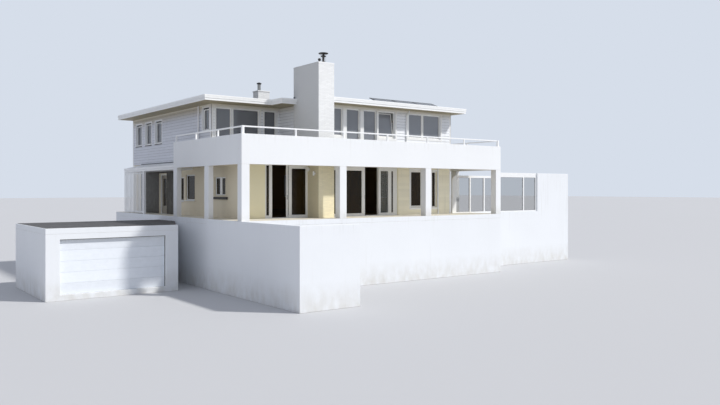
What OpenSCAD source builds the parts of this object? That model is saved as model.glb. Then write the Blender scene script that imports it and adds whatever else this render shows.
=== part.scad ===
// Two-storey beach house on a dune plinth: white walls, a deep terrace on square columns,
// a flat overhanging roof, a garage under a paved deck and a glazed windscreen.
// Millimetres, +Z up. The plan is drawn from the terrace's front left corner (X right, Y back)
// and the whole house is then moved so that the origin is the middle of its base.

/* [Levels] */
// Height of the ground floor above the driveway
floor_z = 3450; // [3000:10:4200]
// Clear height of the ground floor
lower_h = 3000; // [2800:10:3600]
// Clear height of the upper floor
upper_h = 2650; // [2600:10:3400]
// Thickness of the ground floor slab
ground_slab_t = 250; // [150:10:400]
// Thickness of the upper floor slab
upper_slab_t = 300; // [200:10:450]

/* [House walls] */
// Depth of the house between its outer front and back faces
house_d = 15250; // [14800:10:18000]
// Thickness of the plinth and ground floor walls
wall_t = 300; // [200:10:400]
// Thickness of the upper floor walls
upper_wall_t = 250; // [150:10:300]
// Width of the set back left part of the upper floor
set_back_w = 4080; // [3980:10:4300]
// How far the left part of the upper floor stands behind the front wall
set_back_d = 3450; // [2400:10:4200]

/* [Veranda and terrace] */
// Spacing of the first two front columns
bay_1 = 5440; // [4800:10:6000]
// Spacing of the middle two front columns
bay_2 = 5730; // [5000:10:6400]
// Spacing of the last two front columns
bay_3 = 5580; // [5000:10:6400]
// Side of the square front columns
column_w = 410; // [300:10:500]
// Depth of the front veranda
veranda_d = 2050; // [1700:10:2600]
// Width of the veranda on the left side
left_veranda_w = 1120; // [900:10:1400]
// Width of the veranda on the right side
right_veranda_w = 2160; // [1700:10:2500]
// Length of the terrace along each side of the house
side_terrace_l = 7870; // [7000:10:8600]
// Length of a side pier along the wall
pier_l = 480; // [300:10:700]
// Thickness of a side pier
pier_t = 260; // [200:10:380]
// Place of the middle side pier, from the terrace front
middle_pier_y = 3470; // [2600:10:4200]
// Width of the edge beam
beam_w = 400; // [300:10:500]
// How far the edge beam hangs below the upper floor slab
beam_drop = 400; // [200:10:600]
// Thickness of the terrace parapet
parapet_t = 250; // [150:10:350]
// Height of the parapet above the terrace floor
parapet_h = 690; // [500:10:1000]
// Height of the handrail above the parapet
rail_rise = 370; // [250:10:600]
// Width and depth of the handrail
rail_w = 65; // [40:5:100]
// Side of the posts under the handrail
rail_post_w = 80; // [50:5:110]
// Side of the corner posts of the handrail
rail_corner_w = 120; // [80:5:150]

/* [Roof] */
// Thickness of the roof slab
roof_t = 250; // [180:10:400]
// Height of the lower, set back step of the roof edge
fascia_step_h = 110; // [60:10:160]
// How far the lower step of the roof edge stands back
fascia_step_in = 30; // [10:5:80]
// Roof overhang over the left wall
eave_left = 980; // [600:10:1100]
// Roof overhang over the right wall
eave_right = 460; // [200:10:1200]
// Roof overhang over the front wall
eave_front = 880; // [500:10:900]
// Roof overhang over the set back front wall
eave_set_back = 1300; // [900:10:1600]
// Roof overhang at the back
eave_back = 120; // [50:10:600]
// Where the roof edge steps forward beside the chimney, from the left face of the house
roof_step_x = 2830; // [2000:10:3300]
// How far the roof edge steps forward there
roof_step_d = 1050; // [300:10:1080]

/* [Chimneys] */
// Width of the main chimney
chimney_w = 960; // [700:10:1200]
// Depth of the main chimney
chimney_d = 2400; // [2200:10:2800]
// Distance of the main chimney from the left face of the house
chimney_x = 3780; // [3500:10:3850]
// How far the main chimney stands in front of the front wall
chimney_out = 950; // [890:10:1200]
// Height of the main chimney above the roof
chimney_rise = 1720; // [1000:10:2400]
// Width of the small chimney
small_chimney_w = 760; // [500:10:1000]
// Depth of the small chimney
small_chimney_d = 620; // [400:10:900]
// Height of the small chimney above the roof
small_chimney_rise = 1050; // [600:10:1500]
// Height of the smoke pot on the small chimney
pot_h = 520; // [250:10:600]
// Diameter of the rain disc over the main flue
cowl_d = 500; // [300:10:700]
// Height of the main flue cowl
cowl_h = 560; // [300:10:800]

/* [Windows and doors] */
// Width of a window frame bar
frame_w = 60; // [40:5:90]
// Depth of a window frame
frame_d = 90; // [60:5:120]
// How far window frames stand behind the wall face
reveal = 70; // [20:5:110]
// Thickness of the window glass
glass_t = 24; // [12:2:40]
// Height of the upper window heads above the upper floor
upper_head = 2500; // [2350:10:2580]
// Sill height of the upper side windows
side_sill = 950; // [700:10:1200]
// Width of the small upper side windows
small_window_w = 1030; // [700:10:1300]
// Spacing of the small upper side windows
small_window_pitch = 1670; // [1400:10:1800]
// Height of the ground floor window heads above the floor
lower_head = 2500; // [2350:10:2700]
// Height of the opening of the sliding doors
sliding_h = 2720; // [2400:10:2780]
// Depth of the sliding door frames, with two tracks
track_d = 150; // [130:5:200]
// Width of the main posts of the sliding door frames
post_w = 150; // [100:5:180]
// Thickness of a door leaf
leaf_t = 50; // [40:2:60]
// Clearance round a moving leaf
leaf_gap = 6; // [5:1:10]
// Width of the opening of the left sliding door
left_opening_w = 870; // [700:10:950]
// Width of the opening of the right sliding door
right_opening_w = 880; // [700:10:950]
// Width of the entrance doorway
entrance_w = 1100; // [900:10:1300]
// Height of the entrance doorway
entrance_h = 2350; // [2100:10:2600]
// Place of the entrance doorway behind the front wall
entrance_y = 9600; // [9400:10:10200]

/* [Entrance porch] */
// Depth of the porch canopy in front of the wall
canopy_out = 1120; // [900:10:1400]
// Length of the porch canopy
canopy_l = 7900; // [6000:10:8500]
// Height of the underside of the canopy above the ground floor
canopy_z = 2530; // [2300:10:2650]
// Thickness of the front edge of the canopy
canopy_t = 210; // [120:10:300]
// Rise of the canopy towards the wall
canopy_rise = 260; // [100:10:400]
// Number of slats in the porch screen
slat_count = 14; // [8:1:18]
// Width of a slat
slat_w = 95; // [60:5:140]

/* [Garage] */
// Distance of the garage front behind the terrace front
garage_y = 3960; // [3000:10:5000]
// Width of the passage between garage and plinth
passage_w = 1350; // [1000:10:2000]
// Width of the garage front
garage_w = 6050; // [5900:10:7500]
// Depth of the garage
garage_l = 6000; // [5000:10:7500]
// Height of the deck below the ground floor
deck_drop = 260; // [100:10:500]
// Thickness of the deck
deck_t = 250; // [150:10:400]
// Width of the garage door
garage_door_w = 4840; // [2500:10:5000]
// Height of the garage door
garage_door_h = 2440; // [2000:10:2500]
// Height of the garage threshold above the driveway
threshold_h = 250; // [100:10:300]
// Number of sections in the garage door
section_count = 5; // [3:1:8]

/* [Garden walls] */
// Length of the retaining wall in front of the terrace
retaining_l = 5060; // [3000:10:7000]
// Length of the retaining wall's return along the front
retaining_return = 2900; // [1500:10:6000]
// How far the retaining wall stands in front of the plinth
retaining_out = 80; // [40:5:200]
// Distance of the windscreen from the right face of the house
screen_gap = 500; // [300:10:800]
// Thickness of the garden wall on the right
garden_wall_t = 250; // [150:10:350]
// Length of the solid end of the garden wall
garden_wall_l = 3300; // [2000:10:5000]
// Height of the near part of the windscreen above the ground floor
screen_h = 2300; // [1800:10:2450]
// Height of its far part and of the solid end of the garden wall
high_screen_h = 2530; // [2500:10:2800]
// Spacing of the windscreen posts
screen_pitch = 1250; // [1000:10:1350]
// Width of the rounded end post of the windscreen
screen_end_w = 340; // [250:10:500]
// Width of the windscreen posts
screen_post_w = 110; // [60:5:150]

/* [Hidden] */

white = [0.94, 0.95, 0.95];
shade_white = [0.86, 0.87, 0.88];
trim_white = [0.97, 0.97, 0.96];
glass_blue = [0.35, 0.42, 0.48];
dark = [0.16, 0.17, 0.18];
paving = [0.33, 0.34, 0.36];
soffit = [0.80, 0.76, 0.66];

// Plan of the terrace and of the house
terrace_w = bay_1 + bay_2 + bay_3 + column_w;
house_x0 = left_veranda_w;
house_x1 = terrace_w - right_veranda_w;
house_w = house_x1 - house_x0;
house_y0 = veranda_d;
house_y1 = house_y0 + house_d;
left_front_y = house_y0 + set_back_d;
step_x = house_x0 + set_back_w;
chimney_x0 = house_x0 + chimney_x;
chimney_x1 = chimney_x0 + chimney_w;
chimney_y0 = house_y0 - chimney_out;
chimney_y1 = chimney_y0 + chimney_d;

// Heights above the driveway
base_top = floor_z - ground_slab_t;
slab_z = floor_z + lower_h;
beam_z = slab_z - beam_drop;
terrace_z = slab_z + upper_slab_t;
parapet_z = terrace_z + parapet_h;
soffit_z = terrace_z + upper_h;
roof_z = soffit_z + roof_t;
deck_z = floor_z - deck_drop;
garage_top = deck_z - deck_t;

// Garage, garden wall and overall plan
garage_x1 = -passage_w;
garage_x0 = garage_x1 - garage_w;
garage_y1 = garage_y + garage_l;
screen_y = house_y0 + garden_wall_t;
screen_x0 = house_x1 + screen_gap;
screen_bay_x0 = screen_x0 + screen_end_w;
// Bays of the windscreen, from one post spacing to another; the last two are the high ones
screen_low_bays = [[0, 1], [1, 2], [2, 3]];
screen_high_bays = [[3, 5], [5, 6]];
screen_step_x = screen_bay_x0 + screen_high_bays[0][0] * screen_pitch - screen_post_w;
screen_x1 = screen_bay_x0 + screen_high_bays[1][1] * screen_pitch;
garden_wall_x1 = screen_x1 + garden_wall_l;
roof_x0 = house_x0 - eave_left;
roof_y1 = house_y1 + eave_back;
mid_x = (garage_x0 + garden_wall_x1) / 2;
mid_y = (roof_y1 - retaining_l) / 2;

// Column and pier places
column_xs = [0, bay_1, bay_1 + bay_2, bay_1 + bay_2 + bay_3];
pier_ys = [middle_pier_y, side_terrace_l - pier_l];

// How far a cut runs past the face it starts from
past = 1;

// Windows are [start along the wall, end, sill, head, mullions, width of the outer bars], with
// heights above their floor; a mullion is [place from the window's start, width]
function window(start, width, sill, head, mullions = [], bar = frame_w) =
    [start, start + width, sill, head, mullions, bar];
function middle(width, bar = frame_w) = [[(width - bar) / 2, bar]];

// Left wall of the ground floor: a casement with a wide mullion, then a wide and a narrow window
// near the porch
kitchen_from_front = 1850;
kitchen_w = 1250;
kitchen_sill = 1140;
kitchen_head = 2080;
kitchen_mullion = 240;
side_from_front = 5570;
side_w = 1220;
side_window_sill = 850;
side_head = 2260;
hall_from_front = 7060;
hall_w = 650;
hall_sill = 800;
hall_head = 2140;
kitchen_window = window(house_y0 + kitchen_from_front, kitchen_w, kitchen_sill, kitchen_head,
    middle(kitchen_w, kitchen_mullion));
side_window = window(house_y0 + side_from_front, side_w, side_window_sill, side_head);
hall_window = window(house_y0 + hall_from_front, hall_w, hall_sill, hall_head);
lower_left_windows = [kitchen_window, side_window, hall_window];

// Front wall of the ground floor, right part: a tall window and a narrow strip by the downpipe
low_sill = 400;
tall_from_right = 3140;
tall_w = 940;
tall_rise = 50;
tall_bar = 110;
strip_from_right = 1510;
strip_w = 390;
tall_window = window(house_x1 - tall_from_right, tall_w, low_sill, lower_head + tall_rise, [],
    tall_bar);
strip_window = window(house_x1 - strip_from_right, strip_w, low_sill, lower_head);
lower_front_windows = [tall_window, strip_window];

// Unseen walls repeat plain two-light windows, spread evenly
unseen_count = 4;
unseen_w = 1700;
unseen_sill = 900;
function unseen(from, run, head) = [for (i = [0:unseen_count - 1])
    window(from + (i + 0.5) * run / unseen_count - unseen_w / 2, unseen_w, unseen_sill, head,
        middle(unseen_w))];
back_windows = unseen(house_x0, house_w, lower_head);
right_windows = unseen(house_y0, house_d, lower_head);
upper_back_windows = unseen(house_x0, house_w, upper_head);
upper_right_windows = unseen(house_y0, house_d, upper_head);

// Upper front, left of the chimney: corner window, wide window and terrace door
corner_post = 250;
corner_window_w = 910;
corner_mullion = 90;
wide_window_w = 1580;
terrace_door_post = 300;
terrace_door_w = 750;
set_back_sill = 450;
set_back_drop = 25;
set_back_head = upper_head - set_back_drop;
door_sill = 40;
corner_window = window(house_x0 + corner_post, corner_window_w, set_back_sill, set_back_head);
wide_window = window(corner_window[1] + corner_mullion, wide_window_w, set_back_sill, set_back_head);
terrace_door = window(wide_window[1] + terrace_door_post, terrace_door_w, door_sill, set_back_head);
set_back_windows = [corner_window, wide_window, terrace_door];

// Upper front, right of the chimney: four lights, of which the last stands tilted open, and then
// a wide window
front_margin = 40;
front_light_w = 1190;
front_door_w = 910;
front_mullion = 235;
tilt_mullion = 130;
tilt_w = 1190;
front_sill = 1000;
far_from_right = 3290;
far_w = 2470;
far_sill = 1100;
far_mullion = [1020, 180];
front_window = window(chimney_x1 + front_margin, front_light_w, front_sill, upper_head);
front_door_1 = window(front_window[1] + front_mullion, front_door_w, door_sill, upper_head);
front_door_2 = window(front_door_1[1] + front_mullion, front_door_w, door_sill, upper_head);
tilt_window = window(front_door_2[1] + tilt_mullion, tilt_w, front_sill, upper_head);
far_window = window(house_x1 - far_from_right, far_w, far_sill, upper_head, [far_mullion]);
upper_closed_windows = [front_window, front_door_1, front_door_2, far_window];
upper_front_windows = concat(upper_closed_windows, [tilt_window]);

// Upper left wall: a narrow corner light and three small windows near the back
last_window_back = 1600;
corner_light_w = 830;
corner_light_gap = 10;
corner_light_sill = 1300;
small_head = 2270;
corner_light = window(left_front_y + upper_wall_t + corner_light_gap, corner_light_w,
    corner_light_sill, set_back_head);
small_windows = [for (i = [0:2])
    window(house_y1 - last_window_back - i * small_window_pitch, small_window_w, side_sill, small_head)];
upper_left_windows = concat([corner_light], small_windows);

// Sliding door frames: left one ends at the chimney, right one starts there
stile_w = 110;
leaf_rail_h = 100;
track_y = house_y0 + reveal;
rear_track_y = track_y + track_d / 2 + leaf_gap;
sill_h = 30;
side_light_w = 190;
slim_jamb = 50;
left_jamb = 90;
head_y = floor_z + sliding_h;
left_wall_w = 1250;
left_frame_x0 = house_x0 + left_wall_w;
left_opening_x0 = left_frame_x0 + left_jamb + side_light_w + post_w;
left_leaf_x0 = left_opening_x0 + left_opening_w;
left_leaf_w = left_opening_w - leaf_gap + stile_w + post_w;
left_post_x = left_leaf_x0 + stile_w;
left_leaf_x1 = left_leaf_x0 + left_leaf_w;
right_light_w = 790;
right_post_x = chimney_x1 + slim_jamb + right_light_w;
right_post_w = 250;
right_fixed_x0 = right_post_x + right_post_w;
right_fixed_w = 1470;
right_mid_x = right_fixed_x0 + right_fixed_w;
right_leaf_x1 = right_mid_x + post_w + stile_w;
right_leaf_w = right_opening_w - leaf_gap + stile_w + post_w;
right_leaf_x0 = right_leaf_x1 - right_leaf_w;
right_opening_x1 = right_leaf_x1 + right_opening_w;
curtain_light_x = right_opening_x1 + post_w;
curtain_light_w = 560;
curtain_post_w = 210;
narrow_light_x = curtain_light_x + curtain_light_w + curtain_post_w;
narrow_light_w = 150;
end_post_w = 290;
right_frame_x1 = narrow_light_x + narrow_light_w + end_post_w;
leaf_z0 = floor_z + sill_h + leaf_gap;
leaf_h = sliding_h - sill_h - 2 * leaf_gap;
track_rib_w = 10;
// Free gap between a moving leaf and what carries it
seat = 0.3;

// Entrance doorway, hinged on its far side
entrance_y0 = house_y0 + entrance_y;
entrance_y1 = entrance_y0 + entrance_w;
entrance_frame_d = 120;
hinge_r = 12;
hinge_off = 14;
hinge_h = 50;
hinge_leaf_l = 46;
hinge_leaf_t = 5;
hinge_side = 4;
hinge_low = 250;
hinge_pitch = 850;
hinge_zs = [for (i = [0:2]) hinge_low + i * hinge_pitch];
hinge_x = house_x0 + reveal + entrance_frame_d + hinge_off;
hinge_y = entrance_y1 - frame_w;

// Moves the plan so that the origin is the middle of the base
module place(tone) {
    color(tone) translate([-mid_x, -mid_y, 0]) children();
}

// A block between two opposite corners
module block(low, high) {
    translate(low) cube(high - low);
}

// Stand a wall drawn along X, with its outer face at y = 0, on each side of the house
module on_front(y) { translate([0, y, 0]) children(); }
module on_back(y) { translate([0, y, 0]) mirror([0, 1, 0]) children(); }
module on_left(x) { translate([x, 0, 0]) mirror([1, -1, 0]) children(); }
module on_right(x) { translate([x, 0, 0]) mirror([1, 0, 0]) mirror([1, -1, 0]) children(); }

// A wall from x0 to x1 and z0 to z1 with its window openings cut through
module wall(x0, x1, z0, z1, t, windows = []) {
    difference() {
        block([x0, 0, z0], [x1, t, z1]);
        for (w = windows)
            block([w[0], -past, z0 + w[2]], [w[1], t + past, z0 + w[3]]);
    }
}

// Start and end of one light of a window
function light_x0(w, i) = i == 0 ? w[0] + w[5] : w[0] + w[4][i - 1][0] + w[4][i - 1][1];
function light_x1(w, i) = i == len(w[4]) ? w[1] - w[5] : w[0] + w[4][i][0];

// The frame of a window, filling its opening
module window_frame(w, base) {
    difference() {
        block([w[0], reveal, base + w[2]], [w[1], reveal + frame_d, base + w[3]]);
        for (i = [0:len(w[4])])
            block([light_x0(w, i), 0, base + w[2] + w[5]],
                [light_x1(w, i), reveal + frame_d + past, base + w[3] - w[5]]);
    }
}

// The glass of a window, seated in its frame
module window_glass(w, base) {
    y0 = reveal + (frame_d - glass_t) / 2;
    for (i = [0:len(w[4])])
        block([light_x0(w, i), y0, base + w[2] + w[5]],
            [light_x1(w, i), y0 + glass_t, base + w[3] - w[5]]);
}

module window_frames(windows, base) { for (w = windows) window_frame(w, base); }
module window_panes(windows, base) { for (w = windows) window_glass(w, base); }

// Plinth under the ground floor: front, back and side walls
module plinth_walls() {
    place(white) {
        block([0, 0, 0], [terrace_w, wall_t, base_top]);
        block([0, house_y1 - wall_t, 0], [terrace_w, house_y1, base_top]);
        block([0, wall_t, 0], [wall_t, house_y1 - wall_t, base_top]);
        block([terrace_w - wall_t, wall_t, 0], [terrace_w, house_y1 - wall_t, base_top]);
    }
}

// Retaining wall in front of the terrace, running on as a skin up to the middle pier
module retaining_wall() {
    place(shade_white) {
        block([-retaining_out, -retaining_l, 0], [wall_t - retaining_out, 0, floor_z]);
        block([-retaining_out, -past, 0], [0, middle_pier_y, floor_z]);
        block([-retaining_out, -retaining_l, 0], [retaining_return, wall_t - retaining_l, floor_z]);
    }
}

module ground_floor() {
    place(shade_white) block([0, 0, base_top], [terrace_w, house_y1, floor_z]);
}

// Garage: the front wall is cut out for the door, the right wall runs slanting to the plinth
door_x1 = garage_x1 - (garage_w - garage_door_w) / 2;
door_x0 = door_x1 - garage_door_w;
door_top = threshold_h + garage_door_h;
module garage_front_wall() {
    place(white) on_front(garage_y) difference() {
        block([garage_x0, 0, 0], [garage_x1, wall_t, garage_top]);
        block([door_x0, -past, threshold_h], [door_x1, wall_t + past, door_top]);
    }
}
slant_y = side_terrace_l - pier_l / 2;
slant_in = 100;
module garage_walls() {
    place(shade_white) linear_extrude(garage_top) difference() {
        polygon([[garage_x0, garage_y + wall_t], [garage_x1, garage_y + wall_t], [0, slant_y],
            [0, garage_y1], [garage_x0, garage_y1]]);
        polygon([[garage_x0 + wall_t, garage_y], [garage_x1 - wall_t, garage_y],
            [garage_x1 - wall_t, garage_y + wall_t + slant_in], [-wall_t, slant_y + slant_in],
            [-wall_t, garage_y1 - wall_t], [garage_x0 + wall_t, garage_y1 - wall_t]]);
    }
}
module garage_deck() {
    place(paving) translate([0, 0, garage_top]) linear_extrude(deck_t)
        polygon([[garage_x0, garage_y], [garage_x1, garage_y], [garage_x1, garage_y + wall_t],
            [0, slant_y], [0, garage_y1], [garage_x0, garage_y1]]);
}
// Sectional door: panels with a shallow joint between them
section_h = garage_door_h / section_count;
joint_h = 14;
joint_d = 8;
door_t = 45;
module garage_door() {
    place(trim_white) on_front(garage_y + wall_t / 2) difference() {
        block([door_x0, 0, threshold_h], [door_x1, door_t, door_top]);
        for (i = [1:section_count - 1])
            block([door_x0 - past, -past, threshold_h + i * section_h - joint_h / 2],
                [door_x1 + past, joint_d, threshold_h + i * section_h + joint_h / 2]);
    }
}

// Square columns along the front and piers along both sides
module veranda_columns() {
    place(white) {
        for (x = column_xs)
            block([x, 0, floor_z], [x + column_w, beam_w, beam_z]);
        for (y = pier_ys, x = [0, terrace_w - pier_t])
            block([x, y, floor_z], [x + pier_t, y + pier_l, beam_z]);
    }
}

// Edge beam and parapet of one terrace side, drawn as a profile and extruded along X
module edge_profile(length) {
    rotate([90, 0, 90]) linear_extrude(length)
        polygon([[0, beam_z], [beam_w, beam_z], [beam_w, terrace_z], [parapet_t, terrace_z],
            [parapet_t, parapet_z], [0, parapet_z]]);
}
module front_parapet() { place(white) edge_profile(terrace_w); }
module side_parapets() {
    place(shade_white) difference() {
        union() {
            on_left(0) side_edge();
            on_right(terrace_w) side_edge();
            for (x = [[0, house_x0], [house_x1, terrace_w]])
                block([x[0], side_terrace_l - parapet_t, slab_z], [x[1], side_terrace_l, parapet_z]);
        }
        block([-past, -past, 0], [terrace_w + past, parapet_t, roof_z]);
        block([-past, -past, 0], [terrace_w + past, beam_w, terrace_z]);
    }
}
module side_edge() { edge_profile(side_terrace_l); }

// Handrail on short posts round the terrace
front_rail_bays = 6;
side_rail_bays = 3;
rail_in = parapet_t / 2;
rail_z = parapet_z + rail_rise;
module rail_post(x, y, side = rail_post_w) {
    block([x - side / 2, y - side / 2, parapet_z], [x + side / 2, y + side / 2, rail_z]);
}
module terrace_railing() {
    rail_x1 = terrace_w - rail_in;
    side_end = side_terrace_l - rail_in;
    half = rail_w / 2;
    front_pitch = (rail_x1 - rail_in) / front_rail_bays;
    side_pitch = (side_end - rail_in) / side_rail_bays;
    place(trim_white) {
        block([rail_in - half, rail_in - half, rail_z - rail_w], [rail_x1 + half, rail_in + half, rail_z]);
        for (x = [rail_in, rail_x1]) {
            block([x - half, rail_in - half, rail_z - rail_w], [x + half, side_end + half, rail_z]);
            for (i = [1:side_rail_bays]) rail_post(x, rail_in + i * side_pitch);
            rail_post(x, rail_in, rail_corner_w);
        }
        for (i = [1:front_rail_bays - 1]) rail_post(rail_in + i * front_pitch, rail_in);
    }
}

// Ground floor walls
module lower_front_left_wall() {
    place(white) on_front(house_y0) wall(house_x0, left_frame_x0, floor_z, slab_z, wall_t);
}
module lower_front_right_wall() {
    place(white) on_front(house_y0)
        wall(right_frame_x1, house_x1, floor_z, slab_z, wall_t, lower_front_windows);
}
module lower_west_wall() {
    place(shade_white) on_left(house_x0) {
        wall(house_y0 + wall_t, entrance_y0, floor_z, slab_z, wall_t, lower_left_windows);
        wall(entrance_y1, house_y1 - wall_t, floor_z, slab_z, wall_t);
    }
}
module entrance_lintel() {
    place(shade_white) on_left(house_x0)
        wall(entrance_y0, entrance_y1, floor_z + entrance_h, slab_z, wall_t);
}
module lower_east_wall() {
    place(shade_white) on_right(house_x1)
        wall(house_y0 + wall_t, house_y1 - wall_t, floor_z, slab_z, wall_t, right_windows);
}
module lower_back_wall() {
    place(white) on_back(house_y1)
        wall(house_x0, house_x1, floor_z, slab_z, wall_t, back_windows);
}
module lower_window_frames() {
    place(trim_white) {
        on_left(house_x0) window_frames(lower_left_windows, floor_z);
        on_front(house_y0) window_frames(lower_front_windows, floor_z);
        on_right(house_x1) window_frames(right_windows, floor_z);
        on_back(house_y1) window_frames(back_windows, floor_z);
    }
}

// Fixed lights beside the sliding doors stand in the front track, as [start, width, height of the
// top rail]
fixed_y = track_y + track_d / 4 - glass_t / 2;
fixed_d = track_d / 2 - leaf_gap;
fixed_z0 = floor_z + sill_h;
fixed_foot_h = 100;
side_light_rail_h = 60;
left_rail_h = 190;
right_rail_h = 230;
fixed_lights = [[left_frame_x0 + left_jamb, side_light_w, side_light_rail_h],
    [left_post_x + post_w, left_leaf_x1 + leaf_gap - left_post_x - post_w, left_rail_h],
    [chimney_x1 + slim_jamb, right_light_w, right_rail_h],
    [right_fixed_x0, right_fixed_w, right_rail_h],
    [curtain_light_x, curtain_light_w, right_rail_h],
    [narrow_light_x, narrow_light_w, right_rail_h]];
module lower_glass() {
    place(glass_blue) {
        on_left(house_x0) window_panes(lower_left_windows, floor_z);
        on_front(house_y0) window_panes(lower_front_windows, floor_z);
        on_right(house_x1) window_panes(right_windows, floor_z);
        on_back(house_y1) window_panes(back_windows, floor_z);
        for (l = fixed_lights)
            block([l[0], fixed_y, fixed_z0 + fixed_foot_h],
                [l[0] + l[1], fixed_y + glass_t, head_y - l[2]]);
    }
}

// Frames of the two sliding doors and of the entrance. Posts beside an opening take both
// tracks; the post that a leaf slides behind stands in the front track alone.
module frame_post(x0, x1, full = true) {
    block([x0, track_y, floor_z], [x1, track_y + (full ? track_d : fixed_d), slab_z]);
}
module fixed_rails() {
    for (l = fixed_lights) {
        block([l[0], track_y, fixed_z0], [l[0] + l[1], track_y + fixed_d, fixed_z0 + fixed_foot_h]);
        block([l[0], track_y, head_y - l[2]], [l[0] + l[1], track_y + fixed_d, head_y]);
    }
}
module track_run(x0, x1) {
    rail_y = rear_track_y + leaf_t / 2;
    block([x0, track_y, floor_z], [x1, track_y + track_d, floor_z + sill_h]);
    block([x0, track_y, head_y], [x1, track_y + track_d, slab_z]);
    block([x0, rail_y - track_rib_w / 2, floor_z], [x1, rail_y + track_rib_w / 2, leaf_z0 - seat]);
}
module left_frame() {
    track_run(left_frame_x0, chimney_x0);
    frame_post(left_frame_x0, left_frame_x0 + left_jamb);
    frame_post(left_opening_x0 - post_w, left_opening_x0);
    frame_post(left_post_x, left_post_x + post_w, false);
    frame_post(left_leaf_x1 + leaf_gap, chimney_x0);
}
module right_frame() {
    track_run(chimney_x1, right_frame_x1);
    frame_post(chimney_x1, chimney_x1 + slim_jamb);
    frame_post(right_post_x, right_fixed_x0);
    frame_post(right_mid_x, right_mid_x + post_w, false);
    frame_post(right_opening_x1, curtain_light_x);
    frame_post(curtain_light_x + curtain_light_w, narrow_light_x);
    frame_post(narrow_light_x + narrow_light_w, right_frame_x1);
}
module hinge_half(z, side) {
    y0 = side > 0 ? hinge_y + hinge_side : hinge_y - hinge_side - hinge_leaf_l;
    translate([hinge_x, hinge_y, z]) cylinder(r = hinge_r, h = hinge_h, $fn = 32);
    block([hinge_x - hinge_off, y0, z],
        [hinge_x - hinge_off + hinge_leaf_t, y0 + hinge_leaf_l, z + hinge_h]);
}
module entrance_frame() {
    x0 = house_x0 + reveal;
    top = floor_z + entrance_h;
    difference() {
        block([x0, entrance_y0, floor_z], [x0 + entrance_frame_d, entrance_y1, top]);
        block([x0 - past, entrance_y0 + frame_w, floor_z - past],
            [x0 + entrance_frame_d + past, entrance_y1 - frame_w, top - frame_w]);
    }
    for (z = hinge_zs) hinge_half(floor_z + z, 1);
}
module door_frames() {
    place(trim_white) {
        left_frame();
        right_frame();
        fixed_rails();
        entrance_frame();
    }
}

// Entrance door with a tall glazed light, opening inwards
entrance_glass_sill = 470;
entrance_stile = 190;
module entrance_door() {
    y0 = entrance_y0 + frame_w + leaf_gap;
    y1 = entrance_y1 - frame_w - leaf_gap;
    x1 = hinge_x - hinge_off;
    z1 = floor_z + entrance_h - frame_w - leaf_gap;
    place(trim_white) {
        difference() {
            block([x1 - leaf_t, y0, floor_z + leaf_gap], [x1, y1, z1]);
            for (x = [x1 - leaf_t - past, x1 - leaf_t / 2 + glass_t / 2])
                block([x, y0 + entrance_stile, floor_z + entrance_glass_sill],
                    [x + (leaf_t - glass_t) / 2 + past, y1 - entrance_stile, z1 - entrance_stile]);
        }
        for (z = hinge_zs) hinge_half(floor_z + z + hinge_h + seat, -1);
    }
}

// A glazed sliding leaf: stiles and rails round a thinner pane
module sliding_leaf(x0, width) {
    difference() {
        block([x0, rear_track_y, leaf_z0], [x0 + width, rear_track_y + leaf_t, leaf_z0 + leaf_h]);
        for (y = [rear_track_y - past, rear_track_y + (leaf_t + glass_t) / 2])
            block([x0 + stile_w, y, leaf_z0 + leaf_rail_h], [x0 + width - stile_w,
                y + (leaf_t - glass_t) / 2 + past, leaf_z0 + leaf_h - leaf_rail_h]);
    }
}
module left_sliding_door() { place(trim_white) sliding_leaf(left_leaf_x0, left_leaf_w); }
module right_sliding_door() { place(trim_white) sliding_leaf(right_leaf_x0, right_leaf_w); }

// Upper floor and terrace in one slab, with a hole for the chimney
module upper_floor() {
    place(shade_white) translate([0, 0, slab_z]) linear_extrude(upper_slab_t) difference() {
        union() {
            translate([beam_w, beam_w])
                square([terrace_w - 2 * beam_w, side_terrace_l - parapet_t - beam_w]);
            translate([house_x0, house_y0]) square([house_w, house_d]);
        }
        translate([chimney_x0, chimney_y0]) square([chimney_w, chimney_d]);
    }
}

// Upper floor walls
module upper_front_left_wall() {
    place(white) on_front(left_front_y)
        wall(house_x0, step_x, terrace_z, soffit_z, upper_wall_t, set_back_windows);
}
module upper_step_wall() {
    place(shade_white) block([step_x, chimney_y1, terrace_z],
        [step_x + upper_wall_t, left_front_y + upper_wall_t, soffit_z]);
}
module upper_front_right_wall() {
    place(white) on_front(house_y0)
        wall(chimney_x1, house_x1, terrace_z, soffit_z, upper_wall_t, upper_front_windows);
}
module upper_west_wall() {
    place(shade_white) on_left(house_x0)
        wall(left_front_y + upper_wall_t, house_y1 - upper_wall_t, terrace_z, soffit_z, upper_wall_t,
            upper_left_windows);
}
module upper_east_wall() {
    place(shade_white) on_right(house_x1)
        wall(house_y0 + upper_wall_t, house_y1 - upper_wall_t, terrace_z, soffit_z, upper_wall_t,
            upper_right_windows);
}
module upper_back_wall() {
    place(white) on_back(house_y1)
        wall(house_x0, house_x1, terrace_z, soffit_z, upper_wall_t, upper_back_windows);
}
module upper_window_frames() {
    place(trim_white) {
        on_front(left_front_y) window_frames(set_back_windows, terrace_z);
        on_front(house_y0) {
            window_frames(upper_front_windows, terrace_z);
            tilted(tilt_window) difference() {
                block([0, 0, 0], [sash_w, sash_t, sash_h]);
                block([sash_bar, -past, sash_bar],
                    [sash_w - sash_bar, sash_t + past, sash_h - sash_bar]);
            }
        }
        on_left(house_x0) window_frames(upper_left_windows, terrace_z);
        on_right(house_x1) window_frames(upper_right_windows, terrace_z);
        on_back(house_y1) window_frames(upper_back_windows, terrace_z);
    }
}
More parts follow.
